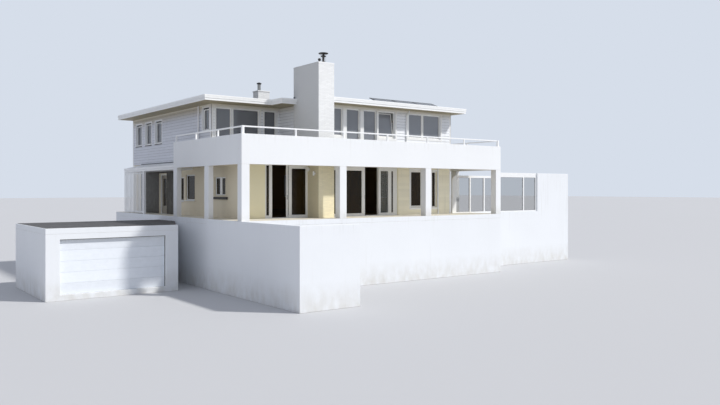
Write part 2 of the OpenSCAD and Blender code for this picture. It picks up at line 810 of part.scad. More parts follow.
module upper_glass() {
    place(glass_blue) {
        on_front(left_front_y) window_panes(set_back_windows, terrace_z);
        on_front(house_y0) {
            window_panes(upper_closed_windows, terrace_z);
            tilted(tilt_window) block([sash_bar, (sash_t - glass_t) / 2, sash_bar],
                [sash_w - sash_bar, (sash_t + glass_t) / 2, sash_h - sash_bar]);
        }
        on_left(house_x0) window_panes(upper_left_windows, terrace_z);
        on_right(house_x1) window_panes(upper_right_windows, terrace_z);
        on_back(house_y1) window_panes(upper_back_windows, terrace_z);
    }
}

// The sash of the window that stands tilted open leans inwards on its lower edge
tilt_angle = 8;
sash_gap = 6;
sash_bar = 55;
sash_t = 60;
sash_w = tilt_w - 2 * frame_w - 2 * sash_gap;
sash_h = upper_head - front_sill - 2 * frame_w - 2 * sash_gap;
module tilted(w) {
    translate([w[0] + frame_w + sash_gap, reveal + frame_d, terrace_z + w[2] + frame_w])
        rotate([-tilt_angle, 0, 0]) translate([0, -sash_t, 0]) children();
}

// Sills under the windows of the left wall and of the unseen walls
sill_t = 60;
sill_out = 60;
sill_side = 50;
kitchen_shelf_t = 120;
kitchen_shelf_out = 80;
kitchen_shelf_drop = 80;
kitchen_shelf_front = 270;
kitchen_shelf_back = 30;
module sill(w, base) {
    block([w[0] - sill_side, -sill_out, base + w[2] - sill_t], [w[1] + sill_side, 0, base + w[2]]);
}
// The ledge under the kitchen window hangs a little lower and runs on towards the front
module kitchen_shelf(w) {
    top = floor_z + w[2] - kitchen_shelf_drop;
    block([w[0] - kitchen_shelf_front, -kitchen_shelf_out, top - kitchen_shelf_t],
        [w[1] + kitchen_shelf_back, 0, top]);
}
module window_sills() {
    place(shade_white) {
        on_left(house_x0) {
            kitchen_shelf(kitchen_window);
            sill(side_window, floor_z);
            sill(hall_window, floor_z);
            for (w = small_windows) sill(w, terrace_z);
        }
        on_back(house_y1) {
            for (w = back_windows) sill(w, floor_z);
            for (w = upper_back_windows) sill(w, terrace_z);
        }
        on_right(house_x1) {
            for (w = right_windows) sill(w, floor_z);
            for (w = upper_right_windows) sill(w, terrace_z);
        }
    }
}

// Wall lamps: upright tubes on a plate, beside the terrace door and on the side of the chimney
lamp_h = 220;
lamp_r = 45;
lamp_out = 90;
lamp_plate_h = 90;
lamp_z = 2150;
lamp_step = 220;
terrace_lamp_in = 155;
chimney_lamp_y = 330;
module wall_lamp(x, z) {
    translate([x, -lamp_out, z]) cylinder(r = lamp_r, h = lamp_h, $fn = 32);
    block([x - lamp_r, -lamp_out, z + (lamp_h - lamp_plate_h) / 2],
        [x + lamp_r, 0, z + (lamp_h + lamp_plate_h) / 2]);
}
module wall_lamps() {
    place(trim_white) {
        on_front(left_front_y) wall_lamp(step_x - terrace_lamp_in, terrace_z + lamp_z);
        on_left(chimney_x0) {
            wall_lamp(chimney_y0 + chimney_lamp_y, floor_z + lamp_z);
            wall_lamp(house_y0 - lamp_out, floor_z + lamp_z + lamp_step);
        }
    }
}

// Flat roof with a stepped edge; its outline steps forward twice, at the chimney and beside it
roof_x1 = house_x1 + eave_right;
roof_left_y = left_front_y - eave_set_back;
roof_front_y = house_y0 - eave_front;
roof_mid_y = roof_left_y - roof_step_d;
module roof_outline() {
    difference() {
        polygon([[roof_x0, roof_left_y], [house_x0 + roof_step_x, roof_left_y],
            [house_x0 + roof_step_x, roof_mid_y], [chimney_x1, roof_mid_y],
            [chimney_x1, roof_front_y], [roof_x1, roof_front_y], [roof_x1, roof_y1], [roof_x0, roof_y1]]);
        translate([chimney_x0, chimney_y0]) square([chimney_w, chimney_d]);
    }
}
module roof() {
    place(soffit) {
        translate([0, 0, soffit_z]) linear_extrude(fascia_step_h + past) difference() {
            offset(delta = -fascia_step_in) roof_outline();
            translate([chimney_x0, chimney_y0]) square([chimney_w, chimney_d]);
        }
        translate([0, 0, soffit_z + fascia_step_h]) linear_extrude(roof_t - fascia_step_h) roof_outline();
    }
}

// Row of tilted solar panels behind the roof edge, each on two upright bracket plates
panel_w = 1560;
panel_l = 1020;
panel_t = 40;
panel_tilt = 20.5;
panel_count = 3;
panel_gap = 20;
panel_from_right = 5500;
panel_x = house_x1 - panel_from_right;
panel_y = 700;
panel_rise = panel_l * tan(panel_tilt);
bracket_t = 40;
bracket_in = 240;
module solar_panel() {
    rotate([90, 0, 90]) linear_extrude(panel_w)
        polygon([[0, 0], [panel_l, panel_rise], [panel_l, panel_rise + panel_t], [0, panel_t]]);
    for (x = [bracket_in, panel_w - bracket_in - bracket_t])
        translate([x, 0, 0]) rotate([90, 0, 90]) linear_extrude(bracket_t)
            polygon([[0, 0], [panel_l, 0], [panel_l, panel_rise + panel_t / 2], [0, panel_t / 2]]);
}
module solar_panels() {
    place(dark) for (i = [0:panel_count - 1])
        translate([panel_x + i * (panel_w + panel_gap), roof_front_y + panel_y, roof_z]) solar_panel();
}

// Chimneys: the main one is brick from the ground floor to well above the roof
chimney_top = roof_z + chimney_rise;
module chimney_stack() {
    place(white) block([chimney_x0, chimney_y0, floor_z], [chimney_x1, chimney_y1, chimney_top]);
}
// The small chimney stands behind the step in the front
small_chimney_in = 40;
small_chimney_x = step_x + small_chimney_in;
small_chimney_back = 2500;
small_chimney_y = left_front_y + small_chimney_back;
small_cap_t = 60;
small_cap_out = 30;
small_top = roof_z + small_chimney_rise;

// Flue cowls, turned round their axes: a tube, a waisted neck and a wide rain disc on the main
// flue, a ball on the flue beside it and a capped pot on the small chimney
flue_r = 110;
neck_r = 60;
collar_r = 130;
cowl_place = [0.55, 0.15];
cowl_x = chimney_x0 + chimney_w * cowl_place[0];
cowl_y = chimney_y0 + chimney_d * cowl_place[1];
side_flue_r = 45;
side_flue_h = 40;
ball_r = 75;
side_flue_in = 130;
pot_r = 90;
pot_rim_r = 140;
pot_in = 230;
function round_points(list, height) = [for (p = list) [p[0], p[1] * height]];
module cowl(x, y, z, height, outline) {
    translate([x, y, z]) rotate_extrude($fn = 48) polygon(round_points(outline, height));
}
module chimney_cowls() {
    place(dark) {
        cowl(cowl_x, cowl_y, chimney_top, cowl_h, [[0, 0], [flue_r, 0], [flue_r, 0.1], [neck_r, 0.2],
            [neck_r, 0.55], [collar_r, 0.62], [collar_r, 0.68], [neck_r, 0.74], [neck_r, 0.85],
            [cowl_d / 2, 0.87], [cowl_d / 2, 0.93], [0, 1]]);
        translate([chimney_x0 + side_flue_in, chimney_y0 + side_flue_in, chimney_top]) {
            cylinder(r = side_flue_r, h = side_flue_h + ball_r, $fn = 32);
            translate([0, 0, side_flue_h + ball_r]) sphere(r = ball_r, $fn = 32);
        }
        cowl(small_chimney_x + pot_in, small_chimney_y + small_chimney_d / 2, small_top, pot_h,
            [[0, 0], [pot_r, 0], [pot_r, 0.75], [pot_rim_r, 0.8], [pot_rim_r, 0.9], [0, 1]]);
    }
}
module small_chimney() {
    x1 = small_chimney_x + small_chimney_w;
    y1 = small_chimney_y + small_chimney_d;
    place(white) {
        block([small_chimney_x, small_chimney_y, roof_z], [x1, y1, small_top - small_cap_t]);
        block([small_chimney_x - small_cap_out, small_chimney_y - small_cap_out, small_top - small_cap_t],
            [x1 + small_cap_out, y1 + small_cap_out, small_top]);
    }
}

// Downpipes: front right from the eaves with a swan neck, ground floor, and the left wall
pipe_r = 40;
pipe_stand = 45;
neck_l = 300;
neck_angle = 45;
elbow_rim = 2;
pipe_from_window = 210;
lower_pipe_from_right = 1050;
left_pipe_in = 600;
module pipe_up(x, y, z0, z1) {
    translate([x, y, z0]) cylinder(r = pipe_r, h = z1 - z0, $fn = 32);
}
module elbow() { sphere(r = pipe_r + elbow_rim, $fn = 32); }
module downpipes() {
    front_x = far_window[0] - pipe_from_window;
    front_y = house_y0 - pipe_stand;
    elbow_z = soffit_z - neck_l;
    run = neck_l * sin(neck_angle);
    lift = neck_l * cos(neck_angle);
    place(trim_white) {
        pipe_up(front_x, front_y, terrace_z, elbow_z);
        translate([front_x, front_y, elbow_z]) {
            elbow();
            rotate([0, neck_angle, 0]) cylinder(r = pipe_r, h = neck_l, $fn = 32);
            translate([run, 0, lift]) elbow();
        }
        pipe_up(front_x + run, front_y, elbow_z + lift, soffit_z);
        pipe_up(house_x1 - lower_pipe_from_right, front_y, floor_z, slab_z);
        pipe_up(house_x0 - pipe_stand, side_terrace_l - parapet_t - left_pipe_in, terrace_z, soffit_z);
    }
}

// Porch: a canopy that rises towards the wall, on a post and a screen of upright slats
canopy_y0 = side_terrace_l;
canopy_y1 = canopy_y0 + canopy_l;
canopy_step_h = 105;
canopy_step_in = 20;
canopy_edge_w = 60;
module porch_canopy() {
    x0 = house_x0 - canopy_out;
    z0 = floor_z + canopy_z;
    z1 = z0 + canopy_t;
    place(white) translate([0, canopy_y1, 0]) rotate([90, 0, 0]) linear_extrude(canopy_l)
        polygon([[x0 + canopy_step_in, z0], [house_x0, z0], [house_x0, z1 + canopy_rise],
            [x0 + canopy_edge_w, z1], [x0, z1], [x0, z0 + canopy_step_h],
            [x0 + canopy_step_in, z0 + canopy_step_h]]);
}
screen_post = 130;
screen_start = 4450;
screen_rail_h = 60;
screen_rail_t = 40;
screen_rail_in = 45;
screen_foot = 100;
slat_lift = 40;
slat_t = 25;
module slat_screen() {
    x0 = house_x0 - canopy_out;
    z1 = floor_z + canopy_z;
    y0 = canopy_y0 + screen_start;
    run = canopy_y1 - y0 - screen_post;
    pitch = run / slat_count;
    place(trim_white) {
        block([x0, y0, floor_z], [x0 + screen_post, y0 + screen_post, z1]);
        for (z = [floor_z + screen_foot, z1 - screen_foot - screen_rail_h])
            block([x0 + screen_rail_in, y0, z],
                [x0 + screen_rail_in + screen_rail_t, canopy_y1, z + screen_rail_h]);
        for (i = [1:slat_count])
            translate([x0 + screen_rail_in, y0 + screen_post + i * pitch, floor_z + slat_lift])
                block([-slat_t, -slat_w, 0], [past, 0, canopy_z - slat_lift]);
    }
}

// Garden wall on the right: low under the windscreen, full height at its end
screen_z1 = floor_z + screen_h;
high_screen_z1 = floor_z + high_screen_h;
module garden_wall() {
    place(white) on_front(screen_y) rotate([90, 0, 0]) mirror([0, 0, 1]) linear_extrude(garden_wall_t)
        polygon([[terrace_w, 0], [garden_wall_x1, 0], [garden_wall_x1, high_screen_z1],
            [screen_x1, high_screen_z1], [screen_x1, floor_z], [terrace_w, floor_z]]);
}

// Windscreen: a rounded end post, slim posts with a sheet of glass in each bay, and a top rail
// that gives way to a deeper and higher beam over the last bays
screen_t = 80;
screen_r = 330;
screen_inner_r = 110;
screen_top_h = 140;
high_screen_top_h = 295;
screen_foot_h = 60;
screen_mid_y = screen_y + garden_wall_t / 2;
module bay_outline(bay, top) {
    z0 = floor_z + screen_foot_h;
    width = (bay[1] - bay[0]) * screen_pitch - screen_post_w;
    translate([screen_bay_x0 + bay[0] * screen_pitch, z0]) difference() {
        square([width, top - z0]);
        if (bay[0] == 0) translate([0, top - z0 - screen_inner_r]) difference() {
            square(screen_inner_r + past);
            translate([screen_inner_r, 0]) circle(screen_inner_r, $fn = 64);
            translate([screen_inner_r, -past]) square(screen_inner_r);
        }
    }
}
module bay_outlines() {
    for (bay = screen_low_bays) bay_outline(bay, screen_z1 - screen_top_h);
    for (bay = screen_high_bays) bay_outline(bay, high_screen_z1 - high_screen_top_h);
}
module windscreen_frame() {
    place(trim_white) translate([0, screen_mid_y + screen_t / 2, 0]) rotate([90, 0, 0])
        linear_extrude(screen_t) difference() {
            union() {
                translate([screen_x0 + screen_r, screen_z1 - screen_r]) circle(screen_r, $fn = 64);
                translate([screen_x0, floor_z]) square([screen_end_w, screen_h - screen_r]);
                translate([screen_x0 + screen_r, floor_z])
                    square([screen_step_x - screen_x0 - screen_r + past, screen_h]);
                translate([screen_step_x, floor_z])
                    square([screen_x1 - screen_step_x, high_screen_h]);
            }
            bay_outlines();
        }
}
module windscreen_glass() {
    place(glass_blue) translate([0, screen_mid_y + glass_t / 2, 0]) rotate([90, 0, 0])
        linear_extrude(glass_t) bay_outlines();
}

plinth_walls();
retaining_wall();
ground_floor();
garage_front_wall();
garage_walls();
garage_deck();
garage_door();
veranda_columns();
front_parapet();
side_parapets();
terrace_railing();
lower_front_left_wall();
lower_front_right_wall();
lower_west_wall();
entrance_lintel();
lower_east_wall();
lower_back_wall();
lower_window_frames();
lower_glass();
door_frames();
entrance_door();
left_sliding_door();
right_sliding_door();
upper_floor();
upper_front_left_wall();
upper_step_wall();
upper_front_right_wall();
upper_west_wall();
upper_east_wall();
upper_back_wall();
upper_window_frames();
upper_glass();
window_sills();
wall_lamps();
roof();
solar_panels();
chimney_stack();
chimney_cowls();
small_chimney();
downpipes();
porch_canopy();
slat_screen();
garden_wall();
windscreen_frame();
windscreen_glass();
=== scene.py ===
"""Looks of the beach house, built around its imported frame."""

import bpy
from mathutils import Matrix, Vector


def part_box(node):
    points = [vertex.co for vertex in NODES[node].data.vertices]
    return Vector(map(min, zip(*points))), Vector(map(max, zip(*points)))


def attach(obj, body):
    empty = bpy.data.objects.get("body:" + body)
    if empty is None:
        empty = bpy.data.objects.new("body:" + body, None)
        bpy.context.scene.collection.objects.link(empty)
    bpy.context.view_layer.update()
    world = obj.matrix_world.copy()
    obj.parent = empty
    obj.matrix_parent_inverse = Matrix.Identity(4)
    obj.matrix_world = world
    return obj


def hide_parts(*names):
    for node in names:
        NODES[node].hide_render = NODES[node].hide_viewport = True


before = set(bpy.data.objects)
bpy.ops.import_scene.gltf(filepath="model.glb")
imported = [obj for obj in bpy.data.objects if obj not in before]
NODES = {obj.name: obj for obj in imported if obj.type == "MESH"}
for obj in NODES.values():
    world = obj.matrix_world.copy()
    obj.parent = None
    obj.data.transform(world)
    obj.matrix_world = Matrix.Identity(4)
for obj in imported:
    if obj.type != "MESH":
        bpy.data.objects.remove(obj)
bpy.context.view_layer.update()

import math
import random
from collections import namedtuple
from itertools import product

import bmesh
import bpy
import numpy as np
from mathutils import Vector

RNG = random.Random(11)

# Places in house metres: the plan starts at the terrace's front left corner.
SHIFT = np.array(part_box("front_parapet")[0]) * (1, 1, 0)


def span(node):
    """Lowest and highest corner of a node."""
    lo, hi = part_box(node)
    return np.array(lo) - SHIFT, np.array(hi) - SHIFT


def welded(node):
    """A node's mesh with its doubled points merged."""
    bm = bmesh.new()
    bm.from_mesh(NODES[node].data)
    bmesh.ops.remove_doubles(bm, verts=bm.verts, dist=1e-5)
    return bm


def solids(node):
    """Lowest and highest corner of each separate solid of a node."""
    bm = welded(node)
    seen, found = set(), []
    for start in bm.verts:
        if start in seen:
            continue
        seen.add(start)
        group = [start]
        for v in group:
            fresh = [o for o in (e.other_vert(v) for e in v.link_edges) if o not in seen]
            seen.update(fresh)
            group += fresh
        points = np.array([v.co[:] for v in group])
        found.append((points.min(0) - SHIFT, points.max(0) - SHIFT))
    bm.free()
    return sorted(found, key=lambda s: tuple(s[0]))


FLOOR = span("ground_floor")[1][2]
SLAB, TERRACE = (c[2] for c in span("upper_floor"))
SOFFIT, ROOF = (c[2] for c in span("roof"))
WIDE, _, PARAPET = span("front_parapet")[1]
(X0, Y0, _), (X1, Y1, _) = span("lower_front_left_wall")[0], span("upper_back_wall")[1]
WEST_Y1 = span("side_parapets")[1][1]
LEFT_Y = span("upper_front_left_wall")[0][1]
STEP_X = span("upper_step_wall")[0][0]
STACK_LO, STACK_HI = span("chimney_stack")
FAR = 99.0  # beyond every part of the house


# Mesh code.
def mm(a, b, *points):
    """Points of a section in metres, given in millimetres from (a, b)."""
    return [(a + x / 1000, b + y / 1000) for x, y in points]


def circle(n):
    """Cosine and sine of n equal steps round a circle."""
    return [(math.cos(w), math.sin(w)) for w in np.linspace(0, 2 * math.pi, n, endpoint=False)]


def grow(rect, by):
    return rect[0] - by, rect[1] + by, rect[2] - by, rect[3] + by


def minus(rects, *holes, least=0.0):
    """Rectangles (u0, u1, z0, z1) with others cut out of them, without parts as thin as least."""
    for h0, h1, k0, k1 in holes:
        left = []
        for u0, u1, z0, z1 in rects:
            if h0 >= u1 or h1 <= u0 or k0 >= z1 or k1 <= z0:
                left.append((u0, u1, z0, z1))
                continue
            a, b = max(u0, h0), min(u1, h1)
            parts = ((u0, h0, z0, z1), (h1, u1, z0, z1), (a, b, z0, k0), (a, b, k1, z1))
            left += [p for p in parts if p[1] > p[0] and p[3] > p[2]]
        rects = left
    return [r for r in rects if min(r[1] - r[0], r[3] - r[2]) > least]


def steps(at, end, pitch):
    """Values from the first up to the end, a pitch apart."""
    while at < end:
        yield at
        at += pitch


class Side:
    """A wall plane: u runs along the wall, d goes into it from its outer face, z is up."""

    def __init__(self, way, at):
        self.way, self.at = way, at
        self.mirrored = way in ("back", "left")
        self.inward = -1 if way in ("back", "right") else 1
        self.across = 1 if way in ("front", "back") else 0

    def place(self, v):
        u, d = v[:, 0], self.at + self.inward * v[:, 1]
        x, y = (u, d) if self.across else (d, u)
        return np.stack([x, y, v[:, 2]], 1)

    def local(self, lo, hi):
        """A box as (u0, u1, z0, z1, depth of its outer face, depth of its inner face)."""
        k = self.across
        depths = sorted(abs(v[k] - self.at) for v in (lo, hi))
        return lo[1 - k], hi[1 - k], lo[2], hi[2], *depths


class Tilted:
    """A plane on an origin, turned about the x axis."""

    mirrored = False

    def __init__(self, origin, angle):
        self.origin, self.cos, self.sin = origin, math.cos(angle), math.sin(angle)

    def place(self, v):
        x, y, z = v.T
        return self.origin + np.stack([x, y * self.cos - z * self.sin, y * self.sin + z * self.cos], 1)


def sides_of(lo, hi, inset=0.0):
    """The four upright sides of a box, each with the stretch that it covers."""
    return [(Side("front", lo[1] + inset), lo[0], hi[0]), (Side("back", hi[1] - inset), lo[0], hi[0]),
            (Side("left", lo[0] + inset), lo[1], hi[1]), (Side("right", hi[0] - inset), lo[1], hi[1])]


def corner_box():
    """A box with cut edges and corners, as signs and face axes of its 24 points, and its faces."""
    signs = list(product((-1, 1), repeat=3))
    index = {(s, a): 3 * i + a for i, s in enumerate(signs) for a in range(3)}
    ring = ((-1, -1), (1, -1), (1, 1), (-1, 1))
    faces = []
    for a in range(3):
        b, c = (a + 1) % 3, (a + 2) % 3
        low, high = ([tuple(np.roll((end, p, q), a)) for p, q in ring] for end in (-1, 1))
        faces += [[index[s, a] for s in end] for end in (low, high)]
        faces += [[index[s, b], index[s, c], index[t, c], index[t, b]] for s, t in zip(low, high)]
    faces += [[index[s, a] for a in range(3)] for s in signs]
    corner = np.repeat(np.array(signs, float), 3, axis=0)
    face_axis = np.tile(np.eye(3, dtype=bool), (8, 1))
    unit = corner * np.where(face_axis, 1.0, 0.8)
    outward = []
    for f in faces:
        p = unit[f]
        outward.append(f if np.cross(p[1] - p[0], p[2] - p[0]) @ p.mean(0) > 0 else f[::-1])
    return corner, face_axis, outward


CORNER, FACE_AXIS, BOX_FACES = corner_box()


class Shape:
    """Gathers faces in house metres or on a side. A material reads each face's tone from 0 to 1."""

    def __init__(self, side=None):
        self.v, self.f, self.t, self.n, self.side = [], [], [], 0, side

    def add(self, v, faces, tone=0.5, side=None):
        v, side = np.asarray(v, float), side or self.side
        if side:
            v = side.place(v)
            if side.mirrored:
                faces = [f[::-1] for f in faces]
        self.f += [[i + self.n for i in f] for f in faces]
        self.t += [tone] * len(faces)
        self.v.append(v)
        self.n += len(v)

    def box(self, lo, hi, c=0.003, tone=0.5, side=None):
        """A box with its edges and corners cut off by c."""
        lo, hi = np.sort(np.array([lo, hi], float), axis=0)
        half = (hi - lo) / 2
        cut = min(c, *(half * 0.45))
        self.add((lo + hi) / 2 + CORNER * (half - np.where(FACE_AXIS, 0.0, cut)), BOX_FACES, tone, side)

    def near(self, at, lo, hi, c=0.003, side=None):
        """A box whose corners are given in millimetres from a point."""
        self.box(np.add(at, np.divide(lo, 1000)), np.add(at, np.divide(hi, 1000)), c, side=side)

    def sheet(self, rect, d0, d1, c=0.003, tone=0.5, side=None):
        """A flat box over a rectangle of a wall, from one depth to another."""
        u0, u1, z0, z1 = rect
        self.box((u0, d0, z0), (u1, d1, z1), c, tone, side)

    def loft(self, loops, tone=0.5, side=None, ring=False):
        """Skin over loops with equal counts of points, capped at both ends or joined in a ring."""
        n, m = len(loops[0]), len(loops)
        faces = []
        for i in range(m if ring else m - 1):
            k = (i + 1) % m
            faces += [[i * n + j, i * n + (j + 1) % n, k * n + (j + 1) % n, k * n + j] for j in range(n)]
        if not ring:
            faces += [list(range(n))[::-1], list(range((m - 1) * n, m * n))]
        v = np.concatenate([np.asarray(loop, float) for loop in loops])
        w = v - v.mean(0)
        volume = sum(w[f[0]] @ np.cross(w[a], w[b]) for f in faces for a, b in zip(f[1:], f[2:]))
        self.add(v, faces if volume > 0 else [f[::-1] for f in faces], tone, side)

    def bar(self, section, u0, u1, tone=0.5, side=None):
        """A (depth, height) section drawn along u."""
        self.loft([[(u, d, z) for d, z in section] for u in (u0, u1)], tone, side)

    def frame(self, rect, section, tone=0.5, side=None):
        """A mitred frame in a rectangle; its section lists (inset, depth)."""
        u0, u1, z0, z1 = rect
        corners = ((u0, z0, 1, 1), (u1, z0, -1, 1), (u1, z1, -1, -1), (u0, z1, 1, -1))
        self.loft([[(u + a * i, d, z + b * i) for i, d in section] for u, z, a, b in corners],
                  tone, side, ring=True)

    def lathe(self, centre, outline, n=32):
        """(radius, height) pairs turned round the z axis at a point."""
        x, y, z = centre
        self.loft([[(x + r * c, y + r * s, z + h) for c, s in circle(n)] for r, h in outline])

    def tube(self, points, r, n):
        """A round tube through points, mitred at each."""
        points = np.array(points, float)
        runs = np.diff(points, axis=0)
        runs /= np.linalg.norm(runs, axis=1)[:, None]
        ways = np.concatenate([runs[:1], runs[:-1] + runs[1:], runs[-1:]])
        ways /= np.linalg.norm(ways, axis=1)[:, None]
        ref, loops = np.cross(ways[0], [0.31, 0.9, 0.27]), []
        for p, way in zip(points, ways):
            ref = ref - way * (ref @ way)
            ref = ref / np.linalg.norm(ref)
            other = np.cross(way, ref)
            loops.append([p + r * (c * ref + s * other) for c, s in circle(n)])
        self.loft(loops)

    def bolt(self, centre, r, h, west=False):
        """A round head with a chamfer that looks up or west."""
        loops = []
        for k, rise in ((1.0, 0.0), (1.0, 0.6 * h), (0.6, h)):
            ring = [(r * k * c, r * k * s, rise) for c, s in circle(8)]
            loops.append(np.array([(-z, x, y) for x, y, z in ring] if west else ring) + centre)
        self.loft(loops)


def shapes(count, side=None):
    return [Shape(side) for _ in range(count)]


def piece(name, shape, material, body="house", replaces=None, smooth=False):
    """Makes an object of a shape. It rides a body and may stand for a CAD node."""
    mesh = bpy.data.meshes.new(name)
    mesh.from_pydata((np.concatenate(shape.v) + SHIFT).tolist(), [], shape.f)
    mesh.attributes.new("tone", "FLOAT", "FACE").data.foreach_set("value", shape.t)
    mesh.materials.append(material)
    if smooth:
        mesh.shade_smooth()
        mesh.set_sharp_from_angle(angle=math.radians(35))
    o = bpy.data.objects.new(name, mesh)
    bpy.context.scene.collection.objects.link(o)
    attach(o, body)
    if replaces:
        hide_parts(replaces)


# Materials.
def linear(rgb):
    return [(c / 255 / 12.92 if c <= 10 else ((c / 255 + 0.055) / 1.055) ** 2.4) for c in rgb] + [1.0]


class Tree:
    """Adds nodes to a shader tree."""

    def __init__(self, tree):
        self.tree = tree

    def node(self, kind, *values, operation=None, **named):
        """A new node, with values or links for its sockets by place or by name."""
        n = self.tree.nodes.new("ShaderNode" + kind)
        if operation:
            n.operation = operation
        for key, value in [*enumerate(values), *named.items()]:
            self.feed(n.inputs[key], value)
        return n

    def feed(self, socket, value):
        if isinstance(value, bpy.types.NodeSocket):
            self.tree.links.new(value, socket)
        else:
            socket.default_value = value


class Paint(Tree):
    """A procedural material on a Principled shader, drawn in the part's own coordinates.

    Where a method takes noise, these are the arguments of Paint.noise.
    """

    def __init__(self, name, rgb, rough=0.6, metal=0.0, alpha=1.0):
        self.m = bpy.data.materials.new(name)
        self.m.use_nodes = True
        super().__init__(self.m.node_tree)
        self.shader = self.tree.nodes["Principled BSDF"]
        self.set(Roughness=rough, Metallic=metal, Alpha=alpha)
        self.where = self.node("TexCoord").outputs["Object"]
        start = self.node("RGB")
        start.outputs[0].default_value = linear(rgb)
        self.colour = start.outputs[0]

    def set(self, **numbers):
        """Puts numbers on the shader's own sockets."""
        for name, value in numbers.items():
            self.shader.inputs[name.replace("_", " ")].default_value = value
        return self

    def noise(self, scale, detail=3.0, rough=0.5, stretch=(1, 1, 1)):
        at = self.node("Mapping", Vector=self.where, Scale=stretch).outputs[0]
        return self.node("TexNoise", Vector=at, Scale=scale, Detail=detail, Roughness=rough).outputs["Fac"]

    def ramp(self, value, lo, hi, to_lo=0.0, to_hi=1.0):
        return self.node("MapRange", value, lo, hi, to_lo, to_hi).outputs[0]

    def times(self, a, b):
        return self.node("Math", a, b, operation="MULTIPLY").outputs[0]

    def vary(self, value, amount):
        """Makes the colour lighter or darker by up to an amount where a 0 to 1 value says."""
        scale = self.ramp(value, 0.0, 1.0, 1 - amount, 1 + amount)
        self.colour = self.node("VectorMath", self.colour, operation="SCALE", Scale=scale).outputs[0]
        return self

    def mottle(self, amount, *noise):
        return self.vary(self.noise(*noise), amount)

    def tone(self, amount):
        """Varies the colour by the tone of each face."""
        n = self.node("Attribute")
        n.attribute_name = "tone"
        return self.vary(n.outputs["Fac"], amount)

    def stain(self, mask, rgb):
        """Mixes a second colour in where the mask says."""
        n = self.node("Mix")
        n.data_type = "RGBA"
        for i, value in ((0, mask), (6, self.colour), (7, linear(rgb))):
            self.feed(n.inputs[i], value)
        self.colour = n.outputs[2]
        return self

    def patches(self, rgb, amount, lo, hi, *noise):
        """Stains that start where the noise passes lo and reach their amount at hi."""
        return self.stain(self.ramp(self.noise(*noise), lo, hi, 0.0, amount), rgb)

    def height(self):
        return self.node("SeparateXYZ", Vector=self.where).outputs["Z"]

    def facing(self, axis, amount):
        """A mask on the faces that look along the negative side of an axis."""
        normal = self.node("NewGeometry").outputs["Normal"]
        return self.ramp(self.node("SeparateXYZ", Vector=normal).outputs[axis], -0.9, -0.5, amount, 0.0)

    def relief(self, strength, distance, *noise):
        """Adds bumps to those that are there."""
        b = self.node("Bump", Height=self.noise(*noise), Strength=strength, Distance=distance)
        normal = self.shader.inputs["Normal"]
        if normal.is_linked:
            self.feed(b.inputs["Normal"], normal.links[0].from_socket)
        self.feed(normal, b.outputs[0])
        return self

    def gloss(self, lo, hi, *noise):
        """Roughness between lo and hi, in patches."""
        self.feed(self.shader.inputs["Roughness"], self.ramp(self.noise(*noise), 0.25, 0.75, lo, hi))
        return self

    def done(self):
        self.feed(self.shader.inputs["Base Color"], self.colour)
        return self.m


def render_paint(name, rgb, foot=None, head=None, grain=0.5, rise=0.55, wear=0.35):
    """Painted masonry: rough cast grain, soft mottling, rain streaks, dirt near its foot, and painted warm
    shade on faces that look down.
    """
    p = Paint(name, rgb, 0.82).mottle(0.03, 0.45, 5.0).mottle(0.025, 55.0, 2.0)
    drips = p.noise(1.0, 4.0, 0.6, (7.0, 7.0, 0.35))
    patch = p.ramp(p.noise(0.9, 2.0), 0.4, 0.65)
    p.stain(p.times(p.ramp(drips, 0.56, 0.8, 0.0, 0.12), patch), (186, 183, 172))
    if foot is not None:
        low = p.ramp(p.height(), foot, foot + rise, 1.0, 0.0)
        splash = p.ramp(p.noise(2.6, 4.0, 0.5, (1, 1, 0.6)), 0.3, 0.8, 0.05, wear)
        p.stain(p.times(low, splash), (176, 168, 148))
    if head is not None:
        high = p.ramp(p.height(), head - 0.5, head)
        p.stain(p.times(high, p.ramp(drips, 0.5, 0.75, 0.0, 0.14)), (180, 178, 168))
    # faces that look down turn warmer and darker: painted shade and bounce light under things
    p.stain(p.facing("Z", 0.85), (186, 172, 142)).gloss(0.74, 0.9, 3.0)
    return p.relief(0.3 * grain, 0.006, 42.0, 4.0, 0.6).relief(0.25, 0.02, 2.2, 2.0).done()


def board_paint(name, rgb, dirt=0.25, head=None, reach=0.6, eave_shade=0.85):
    """Painted timber: brush marks along the board, tone by board, dust, and painted warm shade under the
    eaves.
    """
    p = Paint(name, rgb, 0.5).tone(0.035).mottle(0.02, 1.3, 4.0)
    p.mottle(0.02, 1.0, 3.0, 0.5, (3.0, 3.0, 160.0))
    p.patches((160, 160, 152), dirt, 0.58, 0.85, 1.0, 4.0, 0.5, (5.0, 5.0, 0.5))
    if head is not None:
        # painted shade: the boards turn darker and warmer towards the eaves above
        p.stain(p.ramp(p.height(), head - reach, head, 0.0, eave_shade), (190, 174, 134))
    return p.gloss(0.42, 0.62, 4.0).relief(0.18, 0.002, 1.0, 3.0, 0.5, (4.0, 4.0, 240.0)).done()


def frame_paint(name, rgb):
    """Gloss paint on frames: faint brush waviness and grime in places."""
    p = Paint(name, rgb).tone(0.03).mottle(0.02, 2.0, 4.0).patches((150, 148, 140), 0.3, 0.62, 0.85, 9.0, 5.0)
    return p.gloss(0.28, 0.44, 6.0).relief(0.06, 0.002, 30.0).done()


def metal_paint(name, rgb, rough=0.4, metal=0.0, spots=(120, 108, 90), amount=0.3):
    """Painted or bare metal with spots of rust or dirt."""
    p = Paint(name, rgb, metal=metal).tone(0.05).mottle(0.05, 5.0, 4.0)
    p.patches(spots, amount, 0.6, 0.8, 12.0, 6.0, 0.65)
    return p.gloss(rough - 0.08, rough + 0.14, 14.0).relief(0.1, 0.002, 60.0).done()


